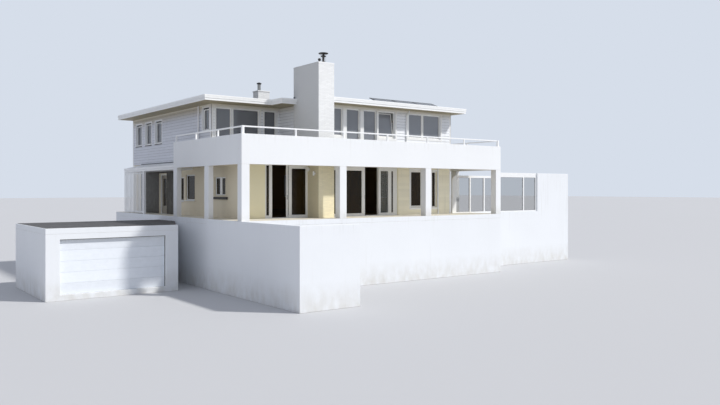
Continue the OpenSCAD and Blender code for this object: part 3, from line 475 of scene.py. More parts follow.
def slab_paint(name, rgb, tone=0.1, moss=0.3):
    """Concrete and stone slabs: aggregate grain, tone by slab, darker damp patches."""
    p = Paint(name, rgb).tone(tone).mottle(0.07, 1.1, 5.0).mottle(0.08, 140.0, 2.0)
    p.patches((96, 94, 82), moss, 0.55, 0.8, 2.4, 6.0, 0.6)
    return p.gloss(0.63, 0.85, 5.0).relief(0.3, 0.003, 110.0).done()


def glass_paint(name, rgb, alpha, level=0.5, tone=0.05):
    """Window glass, with a trace of salt and dust that dulls it in patches."""
    p = Paint(name, rgb, alpha=alpha).set(IOR=1.52, Specular_IOR_Level=level).tone(tone)
    p.mottle(0.12, 0.8).patches((150, 152, 150), 0.06, 0.6, 0.9, 2.2, 5.0, 0.6, (1, 1, 0.7))
    return p.gloss(0.02, 0.07, 1.5, 5.0).relief(0.03, 0.02, 0.7, 1.0).done()


def brick_paint(name, rgb):
    """Painted brick: tone by brick, roller texture, soft rain marks, and painted shade on the west side."""
    p = Paint(name, rgb).tone(0.05).mottle(0.03, 0.8, 5.0).mottle(0.04, 90.0, 2.0)
    p.patches((182, 178, 166), 0.14, 0.58, 0.85, 1.0, 4.0, 0.6, (8.0, 8.0, 0.4))
    # painted shade: faces that look west are darker
    p.stain(p.facing("X", 0.9), [0.86 * c for c in rgb])
    return p.gloss(0.66, 0.86, 5.0).relief(0.35, 0.004, 70.0, 4.0, 0.6).done()


def felt_paint():
    """Mineral roofing felt: grit, tone by strip, puddle marks."""
    p = Paint("roof_felt", (122, 124, 126), 0.9).tone(0.06).mottle(0.12, 0.35, 5.0).mottle(0.12, 260.0, 1.0)
    return p.patches((150, 148, 138), 0.45, 0.55, 0.72, 0.6, 6.0, 0.6).relief(0.5, 0.003, 220.0, 2.0).done()


def soffit_paint():
    """Boards under the eaves: warm beige, darkened as painted shade and warmed as painted bounce light, with
    grain along each board.
    """
    p = Paint("soffit_boards", (162, 151, 123), 0.55).tone(0.07)
    p.mottle(0.06, 1.0, 4.0, 0.5, (1.2, 40.0, 40.0)).mottle(0.03, 2.0)
    return p.relief(0.2, 0.002, 1.0, 3.0, 0.5, (1.5, 70.0, 70.0)).done()


def cell_paint():
    """Solar cells: deep blue black under glass, with a faint crystal mottling."""
    p = Paint("solar_cells", (22, 27, 42), 0.12).tone(0.25).mottle(0.2, 30.0, 5.0)
    p.set(Coat_Weight=0.2, Specular_IOR_Level=0.25, Coat_Roughness=0.05)
    return p.patches((120, 118, 108), 0.15, 0.58, 0.85, 3.0, 5.0).done()


def room_paint():
    """The rooms behind the glass: a sandy paint, faintly mottled, whose brown is painted shade of the dim
    rooms.
    """
    return Paint("room_paint", (196, 172, 134), 0.8).mottle(0.05, 0.7).relief(0.15, 0.003, 50.0).done()


WHITE, OFF_WHITE = (240, 242, 243), (247, 248, 248)
RENDER = render_paint("painted_render", WHITE, head=PARAPET)
RENDER_LOW = render_paint("painted_render_low", (236, 239, 242), 0.0, FLOOR, rise=1.2, wear=0.5)
RENDER_COLUMN = render_paint("painted_render_columns", WHITE, FLOOR, grain=0.35)
# the walls under the veranda take a yellower copy of the wall paint: painted warm bounce light
VERANDA_WALL_WARM_LIGHT = render_paint("veranda_wall_warm_light_paint", (250, 242, 206), FLOOR, grain=0.35)
LOWER_WALL = render_paint("lower_wall_paint", (240, 238, 226), FLOOR, grain=0.35)
# the west wall and the lintel take a darker, warmer copy of the wall paint: painted shade
WEST_WALL_SHADE = render_paint("west_wall_shade_paint", (232, 222, 198), FLOOR, grain=0.35)
CEILING = render_paint("veranda_ceiling_paint", (238, 228, 198), grain=0.3)
# near-black boards in the entrance recess: painted shade of the deep recess
ENTRY_SHADE = board_paint("entrance_board_shade_paint", (60, 55, 44), 0.3)
ENTRY_DOOR = frame_paint("entrance_door_paint", (150, 142, 126))
# the siding and trims grow darker and warmer under the eaves: painted shade
SIDING = board_paint("siding_paint", (246, 249, 253), head=SOFFIT, reach=0.35, eave_shade=0.5)
# the west boards take a darker, bluer copy of the siding paint: painted shade
WEST_SIDING_SHADE = board_paint("west_siding_shade_paint", (216, 219, 227), head=SOFFIT)
# the boards under the veranda take a cream copy of the siding paint: painted warm bounce light
VERANDA_BOARDS_WARM_LIGHT = board_paint("veranda_board_warm_light_paint", (252, 247, 224))
# dark strips under the laps of the siding: painted shadow
LAP_SHADOW = metal_paint("painted_lap_shadow", (120, 122, 128), 0.8, spots=(90, 90, 92), amount=0.2)
TRIM = board_paint("trim_paint", OFF_WHITE, 0.12, SOFFIT, 0.3, 0.6)
FRAMES = frame_paint("frame_paint", (247, 247, 244))
RAIL = metal_paint("rail_paint", OFF_WHITE, 0.36, spots=(170, 152, 128), amount=0.15)
DOOR = metal_paint("garage_door_paint", (236, 241, 247), 0.45, spots=(170, 172, 172), amount=0.15)
FASCIA = metal_paint("fascia_paint", (248, 249, 248), 0.5, spots=(190, 187, 178), amount=0.2)
DARK = metal_paint("dark_metal", (58, 56, 55), 0.45, 0.6)
STEEL = metal_paint("steel", (150, 150, 148), 0.35, 0.9, amount=0.2)
LEAD = metal_paint("lead_flashing", (108, 112, 116), 0.55, 0.35, (150, 150, 148))
RUBBER = metal_paint("rubber_gasket", (26, 26, 27), 0.7, spots=(60, 58, 54), amount=0.2)
# lower glass is painted dark brown: painted shade of the dim rooms behind
GLASS = glass_paint("lower_glass", (48, 37, 18), 0.72, 0.2)
# upper glass is painted light grey: a painted reflection of the sky
SKY_PAINTED_UPPER_GLASS = glass_paint("upper_glass", (132, 136, 143), 0.8, 1.0, 0.34)
CLEAR = glass_paint("clear_glass", (40, 48, 46), 0.22)
BLIND = board_paint("blind_slats", (196, 196, 190), 0.1)
# dark grey deck tiles, painted darker still as shade on the garage deck
DECK_SHADED = slab_paint("deck_tiles", (76, 75, 76), 0.12, 0.35)
TILES = slab_paint("terrace_tiles", (196, 193, 184), 0.08)
VERANDA = slab_paint("veranda_tiles", (224, 219, 205), 0.06, 0.08)
SCREED = slab_paint("screed", (150, 132, 106), 0.05)
BRICK = brick_paint("painted_brick", (240, 241, 240))
# the chimney below the terrace takes a cream copy of the brick paint: painted warm bounce light
BASE_BRICK_WARM_LIGHT = brick_paint("brick_warm_bounce_light", (250, 240, 206))
# the soffit boards are painted darker and warmer as shade and bounce light under the eaves
FELT, SOFFIT_SHADE, CELLS, ROOM_SHADE = felt_paint(), soffit_paint(), cell_paint(), room_paint()


def coat(node, material, slot, chamfer):
    """A CAD node keeps its place and shape: its edges are eased and it gets a painted surface."""
    o = NODES[node]
    o.data.materials.clear()
    o.data.materials.append(material)
    o.modifiers.new("weld", "WELD").merge_threshold = 1e-4
    flat = o.modifiers.new("flat", "DECIMATE")
    flat.decimate_type, flat.angle_limit = "DISSOLVE", math.radians(0.5)
    ease = o.modifiers.new("ease", "BEVEL")
    ease.width, ease.segments = chamfer, 2
    ease.limit_method, ease.angle_limit = "ANGLE", math.radians(35)


# Masonry and frames that keep their CAD shape.
COATS = (
    (RENDER_LOW, "white_render", 0.012,
     ("plinth_walls", "retaining_wall", "garage_front_wall", "garage_walls", "garden_wall")),
    (RENDER_LOW, "floors", 0.012, ("ground_floor",)),
    (RENDER_LOW, "deck_paving", 0.012, ("garage_deck",)),
    (RENDER, "white_render", 0.012, ("front_parapet", "side_parapets")),
    (RENDER_COLUMN, "white_render", 0.008, ("veranda_columns",)),
    (VERANDA_WALL_WARM_LIGHT, "lower_walls", 0.006, ("lower_front_left_wall", "lower_front_right_wall")),
    (LOWER_WALL, "lower_walls", 0.006, ("lower_east_wall", "lower_back_wall")),
    (WEST_WALL_SHADE, "lower_walls", 0.006, ("lower_west_wall", "entrance_lintel")),
    (SIDING, "siding", 0.004, ("upper_front_left_wall", "upper_step_wall", "upper_front_right_wall",
                               "upper_west_wall", "upper_east_wall", "upper_back_wall")),
    (CEILING, "floors", 0.004, ("upper_floor",)),
    (FASCIA, "roof_edge", 0.006, ("roof",)),
    (TRIM, "white_frames", 0.006, ("porch_canopy",)),
    (FRAMES, "white_frames", 0.003, ("door_frames",)),
    (DARK, "dark_metal", 0.002, ("chimney_cowls",)),
    (RAIL, "white_frames", 0.006, ("windscreen_frame",)),
)
for material, slot, chamfer, nodes in COATS:
    for node in nodes:
        coat(node, material, slot, chamfer)

# Windows.
SIDES = {"front": Side("front", Y0), "set_back": Side("front", LEFT_Y), "left": Side("left", X0),
         "right": Side("right", X1), "back": Side("back", Y1)}
FRONT, WEST = SIDES["front"], SIDES["left"]
REVEAL, FRAME_W, FRAME_D, BEAD, SASH_W = 0.07, 0.06, 0.09, 0.018, 0.04
INNER = REVEAL + FRAME_D
# sections in millimetres from the edge of the glass and the frame's face
BEAD_SECTION = ((-18, 70), (-18, 16), (-5.4, 16), (0, 28), (0, 62), (-5.4, 70))
WIDE_BEAD_SECTION = ((-24, 72), (-24, 18), (-6, 18), (0, 28), (0, 62), (-6, 72))
GASKET_SECTION = ((-4, 58), (-4, 28), (6, 30.5), (6, 59.5))
PANE_FACE, PANE_BACK = 0.033, 0.057
Window = namedtuple("Window", "side rect lights depth")


def windows_of(frames, glass):
    """The windows of a storey: each frame with the rectangles of its panes."""
    found = []
    for lo, hi in solids(frames):
        names = ("left", "right") if hi[0] - lo[0] < hi[1] - lo[1] else ("front", "set_back", "back")
        name = next(n for n in names if abs(SIDES[n].local(lo, hi)[4] - REVEAL) < 0.012)
        box, lights = SIDES[name].local(lo, hi), []
        for pane in (SIDES[name].local(*s) for s in solids(glass)):
            u, z, d = (pane[0] + pane[1]) / 2, (pane[2] + pane[3]) / 2, (pane[4] + pane[5]) / 2
            if box[0] < u < box[1] and box[2] < z < box[3] and box[4] < d < box[5] + 0.1:
                lights.append(pane[:4])
        found.append(Window(name, box[:4], lights, box[5] - box[4]))
    return found


def openings(windows, name):
    return [w.rect for w in windows if w.side == name]


def frame_section(w):
    """Section of an outer frame: eased edges and a shadow groove between frame and sash."""
    groove = mm(w * 0.52, REVEAL, (-4, 0), (-2, 2), (-2, 12), (2, 12), (2, 6), (4, 4))
    return (mm(0, INNER, (0, 0)) + mm(0, REVEAL, (0, 3), (3, 0)) + groove +
            mm(w, REVEAL, (-3, 4), (0, 7)) + mm(w, INNER, (0, -3), (-3, 0)))


def glaze(rect, d, bead, frames, rubber, glass, side, tone, pane_tone_and_painted_reflection):
    """Beads, gasket and pane of one light in a frame whose face lies at a depth."""
    frames.frame(rect, mm(0, d, *bead), tone, side)
    rubber.frame(rect, mm(0, d, *GASKET_SECTION), 0.5, side)
    glass.sheet(grow(rect, 0.003), d + PANE_FACE, d + PANE_BACK, 0.001, pane_tone_and_painted_reflection, side)


def window_unit(window, frames, rubber, glass, hardware):
    side, (u0, u1, z0, z1), lights = SIDES[window.side], window.rect, window.lights
    tone = RNG.uniform(0.3, 0.7)
    frames.frame(window.rect, frame_section(lights[0][0] - u0 - BEAD), tone, side)
    # mullion between two lights, with a sash bar on each side where it is wide, and a weather bar
    for a, b in zip(lights, lights[1:]):
        m0, m1, foot, head = a[1] + BEAD, b[0] - BEAD, z0 + 0.04, z1 - 0.04
        frames.sheet((m0, m1, foot, head), REVEAL + 0.002, INNER - 0.002, 0.003, tone, side)
        if m1 - m0 > 2 * SASH_W:
            for c0, c1 in ((m0, m0 + SASH_W), (m1 - SASH_W, m1)):
                frames.sheet((c0, c1, foot, head), REVEAL - 0.003, REVEAL + 0.01, 0.003, tone, side)
    weather_bar = mm(REVEAL, z0, (4, 12), (-16, 14), (-18, 22), (-4, 38), (4, 40))
    frames.bar(weather_bar, u0 + 0.03, u1 - 0.03, tone, side)
    for light in lights:
        # painted reflection: front panes are painted lighter towards the right, as if they mirrored more sky,
        # and west panes darker as painted shade
        pane_tone_and_painted_reflection = {"front": 1.0 if light[0] > 11 else 0.7, "left": 0.0}.get(window.side, 0.25)
        glaze(light, REVEAL, BEAD_SECTION, frames, rubber, glass, side, tone, pane_tone_and_painted_reflection)
        handle = (light[0] - 0.03, INNER, (light[2] + light[3]) / 2)
        hardware.near(handle, (-14, -2, -60), (14, 8, 60), 0.003, side)
        hardware.near(handle, (-9, 6, -110), (9, 30, 10), 0.005, side)


LOWER = windows_of("lower_window_frames", "lower_glass")
UPPER = windows_of("upper_window_frames", "upper_glass")
TILTED = next(w for w in UPPER if w.depth > FRAME_D + 0.02)
frames_low, frames_up, rubber_low, rubber_up, glass_low, glass_up, glass_veiled, handles = shapes(8)
for window in LOWER:
    window_unit(window, frames_low, rubber_low, glass_low, handles)
for window in UPPER:
    if window is not TILTED:
        window_unit(window, frames_up, rubber_up, glass_up, handles)

# the window that stands tilted: an outer frame, and a sash that leans in on its lower edge
LEAN, SASH_T, SASH_BAR, SASH_GAP = math.radians(8), 0.06, 0.055, 0.006
rect = TILTED.rect
frames_up.frame(rect, frame_section(FRAME_W), 0.5, FRONT)
rubber_up.frame(grow(rect, -FRAME_W), mm(0, INNER, (-2, 4), (-2, -12), (4, -12), (4, 4)), 0.5, FRONT)
lean = Tilted((0, Y0 + INNER, rect[2] + FRAME_W), -LEAN)
margin = FRAME_W + SASH_GAP
sash = (rect[0] + margin, rect[1] - margin, 0.0, rect[3] - rect[2] - 2 * margin)
sash_section = mm(0, -SASH_T, (0, 60), (0, 4), (4, 0), (34, 0), (55, 16), (55, 46), (36, 60))
frames_up.frame(sash, sash_section, 0.55, lean)
light = grow(sash, -SASH_BAR)
rubber_up.frame(light, mm(0, -SASH_T, (-3, 44), (-3, 16), (6, 16.5), (6, 43.5)), 0.5, lean)
glass_up.sheet(grow(light, 0.004), 0.018 - SASH_T, 0.042 - SASH_T, 0.001, 1.0, lean)
handles.near((sash[0], 0, (light[2] + light[3]) / 2), (12, 0, -60), (40, 10, 60), 0.003, lean)
for u in (sash[0] - 0.004, sash[1] + 0.001):
    # a stay arm at the head holds the sash open
    handles.near((u, -SASH_T, sash[3]), (0, 30, -50), (3, 50, -20), 0.001, lean)

# slotted vents at the heads of the west windows, over a rail in front of the glass; their dark blades and
# backing are also a painted shadow under each head
VENT_H, BLADES, BLADE_PITCH = 0.066, 3, 0.021
vents = Shape(WEST)
for u0, u1, _, head in openings(UPPER, "left"):
    u0, u1 = u0 + 0.01, u1 - 0.01
    for k in range(BLADES):
        blade = mm(REVEAL, head - VENT_H + BLADE_PITCH * k, (4, 0), (-22, 0), (-16, 17), (4, 17))
        vents.bar(blade, u0, u1)
    back = (u0 - 0.002, u1 + 0.002, head - 0.068, head - 0.002)
    vents.sheet(back, REVEAL - 0.006, REVEAL + 0.004, 0.001, 0.3)
    vent_rail = (u0, u1, head - 0.122, head - 0.07)
    frames_up.sheet(vent_rail, REVEAL - 0.016, REVEAL + 0.03, 0.004, 0.5, WEST)

# upright blinds behind the far upper window and behind the light beside the right doorway
VEIL_FROM, VEIL_TO, SLAT_W, SLAT_PITCH = 9.65, 10.4, 0.078, 0.09
blinds = Shape(FRONT)
far = max((w for w in UPPER if w.side == "front"), key=lambda w: w.rect[1])
fixed = [FRONT.local(*s) for s in solids("lower_glass")]
beside = [p for p in fixed if VEIL_FROM < p[0] < p[1] < VEIL_TO]
for u0, u1, z0, z1 in far.lights + [p[:4] for p in beside]:
    for u in steps(u0 + 0.02, u1 - 0.03, SLAT_PITCH):
        d, swing = REVEAL + 0.15, RNG.uniform(0.012, 0.03)
        slat = [(u, d), (u + SLAT_W, d + swing), (u + SLAT_W, d + 0.002 + swing), (u, d + 0.002)]
        blinds.loft([[(a, b, z) for a, b in slat] for z in (z0 + 0.01, z1 - 0.01)], RNG.random())
    blinds.sheet((u0, u1, z1 - 0.012, z1 + 0.02), REVEAL + 0.13, REVEAL + 0.19, 0.004)
piece("window_blinds", blinds, BLIND)

# fixed panes in the front track of the sliding door frames
for (lo, hi), p in zip(solids("lower_glass"), fixed):
    if hi[1] - lo[1] < 0.05 and abs(p[4] - REVEAL - 0.0255) < 0.003:
        pane = glass_veiled if p in beside else glass_low
        glaze(grow(p[:4], -0.022), p[4] - PANE_FACE, WIDE_BEAD_SECTION, frames_low, rubber_low, pane, FRONT,
              0.5, RNG.random())

piece("lower_window_frames_dressed", frames_low, FRAMES, replaces="lower_window_frames")
piece("upper_window_frames_dressed", frames_up, FRAMES, replaces="upper_window_frames")
piece("lower_panes", glass_low, GLASS, replaces="lower_glass")
piece("veiled_pane", glass_veiled, CLEAR)
piece("upper_panes", glass_up, SKY_PAINTED_UPPER_GLASS, replaces="upper_glass")
piece("lower_gaskets", rubber_low, RUBBER)
piece("upper_gaskets", rubber_up, RUBBER)
piece("window_vents_head_shadow", vents, DARK)
piece("window_handles", handles, STEEL)

# Sliding leaves.
LEAF_RAIL, LEAF_PANE, HANDLE_Z = 0.10, 0.014, FLOOR + 1.05


def leaf(node, body, pull_left):
    """A glazed leaf with a recessed pull outside and a bar handle inside."""
    lo, hi = span(node)
    d0, d1 = lo[1] - Y0, hi[1] - Y0
    rect = (lo[0], hi[0], lo[2], hi[2])
    bars, rubber, pane, metal = shapes(4, FRONT)
    outer = mm(0, d0, (0, 3), (3, 0), (78, 0), (80, 2), (80, 4), (96, 9), (100, 13))
    inner = mm(0, d1, (100, -13), (96, -9), (80, -2), (78, 0))
    bars.frame(rect, mm(0, d1, (0, 0)) + outer + inner)
    light = grow(rect, -LEAF_RAIL)
    rubber.frame(light, mm(0, d1, (-3, -12)) + mm(0, d0, (-3, 12), (6, 12.5)) + mm(0, d1, (6, -12.5)))
    pane.sheet(grow(light, 0.003), d0 + LEAF_PANE, d1 - LEAF_PANE, 0.001, 0.4)
    u = lo[0] + 0.05 if pull_left else hi[0] - 0.05
    metal.near((u, d0, HANDLE_Z), (-18, -1.5, -110), (18, 2, 110), 0.001)
    metal.near((u, d1, HANDLE_Z), (-12, -1, -120), (12, 12, -80), 0.002)
    metal.near((u, d1, HANDLE_Z), (-12, -1, 80), (12, 12, 120), 0.002)
    metal.near((u, d1, HANDLE_Z), (-10, 10, -150), (10, 26, 150), 0.005)
    piece(node + "_leaf", bars, FRAMES, body, node)
    piece(node + "_gasket", rubber, RUBBER, body)
    piece(node + "_pane", pane, GLASS, body)
    piece(node + "_handle", metal, STEEL, body)


leaf("left_sliding_door", "left_leaf", True)
leaf("right_sliding_door", "right_leaf", False)

# The entrance door: broad stiles round a tall light over a fielded panel, on three hinges.
entrance = next(s for s in solids("door_frames") if s[1][1] > Y0 + 5)
door_lo, door_hi = span("entrance_door")
DOORWAY = (entrance[0][1], entrance[1][1], FLOOR, entrance[1][2])
DOOR_T, STILE, LOW_RAIL, HINGES = 0.05, 0.19, 0.464, (0.25, 1.10, 1.95)
d0 = door_lo[0] - X0
d1 = d0 + DOOR_T
door_rect = (door_lo[1], entrance[1][1] - FRAME_W - SASH_GAP, door_lo[2], door_hi[2])
u0, u1, z0, z1 = door_rect
tall = (u0 + STILE, u1 - STILE, z0 + LOW_RAIL, z1 - STILE)
stiles, gasket, pane = shapes(3, WEST)
metal = Shape()
for part in minus([door_rect], tall):
    stiles.sheet(part, d0, d1, 0.0015)
moulding = mm(0, d0, (-12, -2), (-4, -2), (4, 10)) + mm(0, d1, (4, -10), (-4, 2))
stiles.frame(tall, mm(0, d1, (-12, 2)) + moulding)
gasket.frame(tall, mm(0, d1, (1, -12)) + mm(0, d0, (1, 12), (9, 12.5)) + mm(0, d1, (9, -12.5)))
pane.sheet(grow(tall, -0.001), d0 + LEAF_PANE, d1 - LEAF_PANE, 0.001)
panel = (tall[0] - 0.02, tall[1] + 0.02, z0 + 0.10, z0 + LOW_RAIL - 0.06)
for face, out in ((d0, -1), (d1, 1)):
    stiles.frame(panel, mm(0, face, (0, 0), (6, out * 2), (18, out * 2), (26, 0)))
    at = (u0 + 0.065, face, HANDLE_Z)
    metal.near(at, (-20, 0, -120), (20, out * 4, 120), 0.0015, WEST)
    metal.near(at, (-9, 0, 0), (9, out * 45, 18), 0.004, WEST)
    metal.near(at, (-9, out * 32, 0), (120, out * 48, 18), 0.005, WEST)
for z in HINGES:
    x, y, base = X0 + REVEAL + 0.134, entrance[1][1] - FRAME_W, FLOOR + z + 0.0503
    metal.lathe((x, y, base), [(0.0115, 0.0), (0.012, 0.001), (0.012, 0.049), (0.0115, 0.05)], 20)
    metal.near((x, y, base), (-14, -50, 0), (-9, -4, 50), 0.001)
    for k in (0.012, 0.038):
        metal.bolt((x - 0.0135, y - 0.028, base + k), 0.004, 0.001, west=True)
piece("entrance_leaf_dressed", stiles, ENTRY_DOOR, "entrance_leaf", "entrance_door")
piece("entrance_gasket", gasket, RUBBER, "entrance_leaf")
piece("entrance_pane", pane, GLASS, "entrance_leaf")
piece("entrance_metal", metal, STEEL, "entrance_leaf", smooth=True)

# Lap siding, casings, corner boards.
PITCH, LAP_LOW, LAP_TOP, LAP_SHADOW_H, BOARD_L, BOARD_GAP, CORNER_W = 0.165, 0.022, 0.004, 0.016, 3.9, 0.001, 0.10
siding, west_siding, low_siding, joints, trim = shapes(5)


def lap_boards(shape, side, rect, base, holes=(), lap_shadows_on=True):
    """Overlapping boards, with a dark strip under each lap that is a painted shadow; base is the foot of one
    of the rows.
    """
    u0, u1, z0, z1 = rect
    for r in range(math.floor((z0 - base) / PITCH + 1e-6), math.ceil((z1 - base) / PITCH - 1e-6)):
        low, top = max(base + r * PITCH, z0), min(base + (r + 1) * PITCH, z1)
        shift = (r % 3) * BOARD_L / 3 + RNG.uniform(-0.2, 0.2)
        levels = sorted({low, top} | {z for h in holes for z in h[2:] if low + 1e-4 < z < top - 1e-4})

        def out(z):
            return -(LAP_LOW + (LAP_TOP - LAP_LOW) * (z - low) / PITCH)

        for a, b in zip(levels, levels[1:]):
            foot = [(out(a) + 0.003, a), (out(a), a + 0.004)] if a == low else [(out(a), a)]
            section = [(0.0, a)] + foot + [(out(b), b), (0.0, b)]
            for s0, s1, _, _ in minus([(u0, u1, a, b)], *holes):
                ends = [u0 + shift + k * BOARD_L for k in range(-1, 12)]
                cuts = [s0] + [u for u in ends if s0 + 0.4 < u < s1 - 0.4] + [s1]
                for c0, c1 in zip(cuts, cuts[1:]):
                    a0, a1 = c0 + BOARD_GAP * (c0 > s0), c1 - BOARD_GAP * (c1 < s1)
                    shape.bar(section, a0, a1, RNG.random(), side)
                # a dark strip under the next lap: painted shadow
                if lap_shadows_on and b == top < z1:
                    dust = (s0, s1, top - LAP_SHADOW_H, top)
                    joints.sheet(dust, out(top) - 0.001, 0.0, 0.0005, RNG.random(), side)


def casings(side, rect, holes, width, out=0.026):
    """Flat boards round the openings of a wall, up to the wall's own edges, and never doubled."""
    done = []
    for o in holes:
        if o[1] < rect[0] or o[0] > rect[1]:
            continue
        wide = grow(o, width)
        around = (max(wide[0], rect[0]), min(wide[1], rect[1]), max(wide[2], rect[2]), min(wide[3], rect[3]))
        for p in minus([around], *holes, *done, least=0.01):
            trim.sheet(p, -out, 0.001, 0.003, RNG.uniform(0.3, 0.7), side)
        done.append(around)
    return done


# the boards run down over the floor's edge wherever no terrace is in front of them
RUNS = (
    ("front", (STACK_HI[0], X1, TERRACE, SOFFIT), 0.12, (False, True)),
    ("set_back", (X0, STEP_X, TERRACE, SOFFIT), 0.09, (True, False)),
    ("left", (LEFT_Y, WEST_Y1, TERRACE, SOFFIT), 0.08, (True, False)),
    ("left", (WEST_Y1, Y1, SLAB, SOFFIT), 0.08, (False, True)),
    ("right", (Y0, WEST_Y1, TERRACE, SOFFIT), 0.09, (True, False)),
    ("right", (WEST_Y1, Y1, SLAB, SOFFIT), 0.09, (False, True)),
    ("back", (X0, X1, SLAB, SOFFIT), 0.09, (True, True)),
)
FRIEZE = 0.09
for name, rect, width, corners in RUNS:
    side, (u0, u1, z0, z1) = SIDES[name], rect
    done = casings(side, rect, openings(UPPER, name), width)
    c0, c1 = u0 + CORNER_W * corners[0], u1 - CORNER_W * corners[1]
    for there, a, b, before, after in ((corners[0], u0, c0, LAP_LOW, 0), (corners[1], c1, u1, 0, LAP_LOW)):
        for p in minus([(a, b, z0, z1)], *done) if there else ():
            trim.sheet((p[0] - before, p[1] + after, p[2], p[3]), -LAP_LOW, 0.0, 0.003, 0.5, side)
    lap_boards(west_siding if name == "left" else siding, side, (c0, c1, z0, z1 - FRIEZE), TERRACE, done)
    for p in minus([(c0, c1, z1 - FRIEZE, z1)], *done):
        trim.sheet(p, -0.02, 0.0, 0.002, 0.5, side)
# the short wall that steps forward to the chimney
lap_boards(siding, Side("left", STEP_X), (STACK_HI[1], LEFT_Y - LAP_LOW, TERRACE, SOFFIT), TERRACE)
# boarded right end of the ground floor front
u0 = span("lower_front_right_wall")[0][0]
done = casings(FRONT, (u0, X1, FLOOR, SLAB), [o for o in openings(LOWER, "front") if o[0] > u0], 0.10)
lap_boards(low_siding, FRONT, (u0, X1 - CORNER_W, FLOOR, SLAB), FLOOR, done, lap_shadows_on=False)
trim.sheet((X1 - CORNER_W, X1, FLOOR, SLAB), -LAP_LOW, 0.0, 0.003, 0.5, FRONT)
piece("lap_siding", siding, SIDING)
piece("west_lap_siding", west_siding, WEST_SIDING_SHADE)
piece("veranda_lap_siding", low_siding, VERANDA_BOARDS_WARM_LIGHT)
piece("siding_lap_shadows", joints, LAP_SHADOW)
piece("casings_and_corner_boards", trim, TRIM)

# Painted brick.
BRICK_L, BRICK_H, MORTAR, PROUD, INSET, CAP = 0.21, 0.05, 0.012, 0.005, 0.004, 0.09
BRICK_FACES = [[4, 5, 6, 7]] + [[k, (k + 1) % 4, 4 + (k + 1) % 4, 4 + k] for k in range(4)]


def bricks(shape, side, rect, *holes):
    """Stretcher bond over a rectangle, each brick with a chamfered face."""
    u0, u1, z0, z1 = rect
    for row, z in enumerate(steps(z0 + MORTAR / 2, z1 - 0.02, BRICK_H + MORTAR)):
        for u in steps(u0 - (row % 2) * (BRICK_L + MORTAR) / 2, u1, BRICK_L + MORTAR):
            a, b = max(u, u0), min(u + BRICK_L, u1)
            if b - a < 0.03:
                continue
            for p in minus([(a, b, z, min(z + BRICK_H, z1))], *holes, least=0.02):
                levels = ((0.0, 0.0), (0.004, -PROUD + RNG.uniform(-0.0008, 0.0008)))
                v = []
                for inset, d in levels:
                    q0, q1, r0, r1 = grow(p, -inset)
                    v += [(q0, d, r0), (q1, d, r0), (q1, d, r1), (q0, d, r1)]
                shape.add(v, BRICK_FACES, RNG.random(), side)


def plan_ring(lo, hi, inset, z):
    """The corners of a box's plan, moved in by an inset, at a height."""
    x0, x1, y0, y1 = grow((lo[0], hi[0], lo[1], hi[1]), -inset)
    return [(x0, y0, z), (x1, y0, z), (x1, y1, z), (x0, y1, z)]


clo, chi = STACK_LO, STACK_HI
stack, base_brick = shapes(2)
stack.box(clo + (INSET, INSET, 0), chi - (INSET, INSET, 0), 0.004, 0.35)
stack_sides = {s[0].way: s for s in sides_of(clo, chi, INSET)}
INDOORS, ROOF_FROM = Y0 + 0.3, {"left": 3.35, "right": 1.35}
# each side ends somewhere below the terrace, and the roof hides a part of it
for way, end in (("front", chi[0]), ("left", INDOORS), ("right", INDOORS)):
    side, a, b = stack_sides[way]
    bricks(base_brick, side, (a, end, FLOOR, SLAB))
    hidden = (ROOF_FROM.get(way, FAR) + 0.07, 2 * FAR, SOFFIT, ROOF)
    bricks(stack, side, (a, b, TERRACE, chi[2] - CAP), hidden)
bricks(stack, stack_sides["back"][0], (clo[0], chi[0], ROOF, chi[2] - CAP))
base_lo, base_hi = (clo[0] + 0.002, clo[1] + 0.002, FLOOR + 0.001), (chi[0] - 0.002, INDOORS, SLAB - 0.001)
base_brick.box(base_lo, base_hi, 0.002, 0.35)
# cement cap, slightly proud, with a weathered slope round the flues
cap = ((-0.006, -0.085), (-0.006, -0.012), (0.006, 0.002))
stack.loft([plan_ring(clo, chi, inset, chi[2] + rise) for inset, rise in cap], 0.45)
piece("chimney_stack_brick", stack, BRICK, replaces="chimney_stack")
piece("chimney_base_brick", base_brick, BASE_BRICK_WARM_LIGHT)

SLAB_OUT, SLAB_T = 0.03, 0.06
small_lo, small_hi = span("small_chimney")
body_lo, body_hi = small_lo + (SLAB_OUT, SLAB_OUT, 0), small_hi - (SLAB_OUT, SLAB_OUT, SLAB_T)
small = Shape()
small.box(body_lo + (INSET, INSET, 0), body_hi - (INSET, INSET, -0.01), 0.003, 0.35)
for side, a, b in sides_of(body_lo, body_hi, INSET):
    bricks(small, side, (a, b, ROOF + 0.16, body_hi[2]))
small.box((small_lo[0], small_lo[1], small_hi[2] - SLAB_T), small_hi, 0.008, 0.5)
piece("small_chimney_brick", small, BRICK, replaces="small_chimney")

# lead flashing where both chimneys pass the roof, in overlapping lengths
UPSTAND, APRON, LEAD_STEP = 0.15, 0.14, 0.45
lead = Shape()
for lo, hi in ((clo, chi), (body_lo, body_hi)):
    for side, start, end in sides_of(lo, hi):
        if side.way == "front" and lo is clo:
            continue
        n = max(2, int((end - start) / LEAD_STEP))
        for k in range(n):
            a, b = (start + (end - start) * i / n for i in (k, k + 1))
            if lo is clo:
                a = max(a, ROOF_FROM.get(side.way, a))
                if b - a < 0.05:
                    continue
            a, b, z, over = a - 0.01, b + 0.01, ROOF + 0.006, 0.002 * (k % 2)
            lead.sheet((a, b, z, ROOF + UPSTAND), -0.009 - over, 0.002, 0.0015, RNG.random(), side)
            lead.sheet((a, b, z + over, ROOF + 0.012), -APRON, -0.004, 0.0015, RNG.random(), side)
piece("lead_flashings", lead, LEAD)

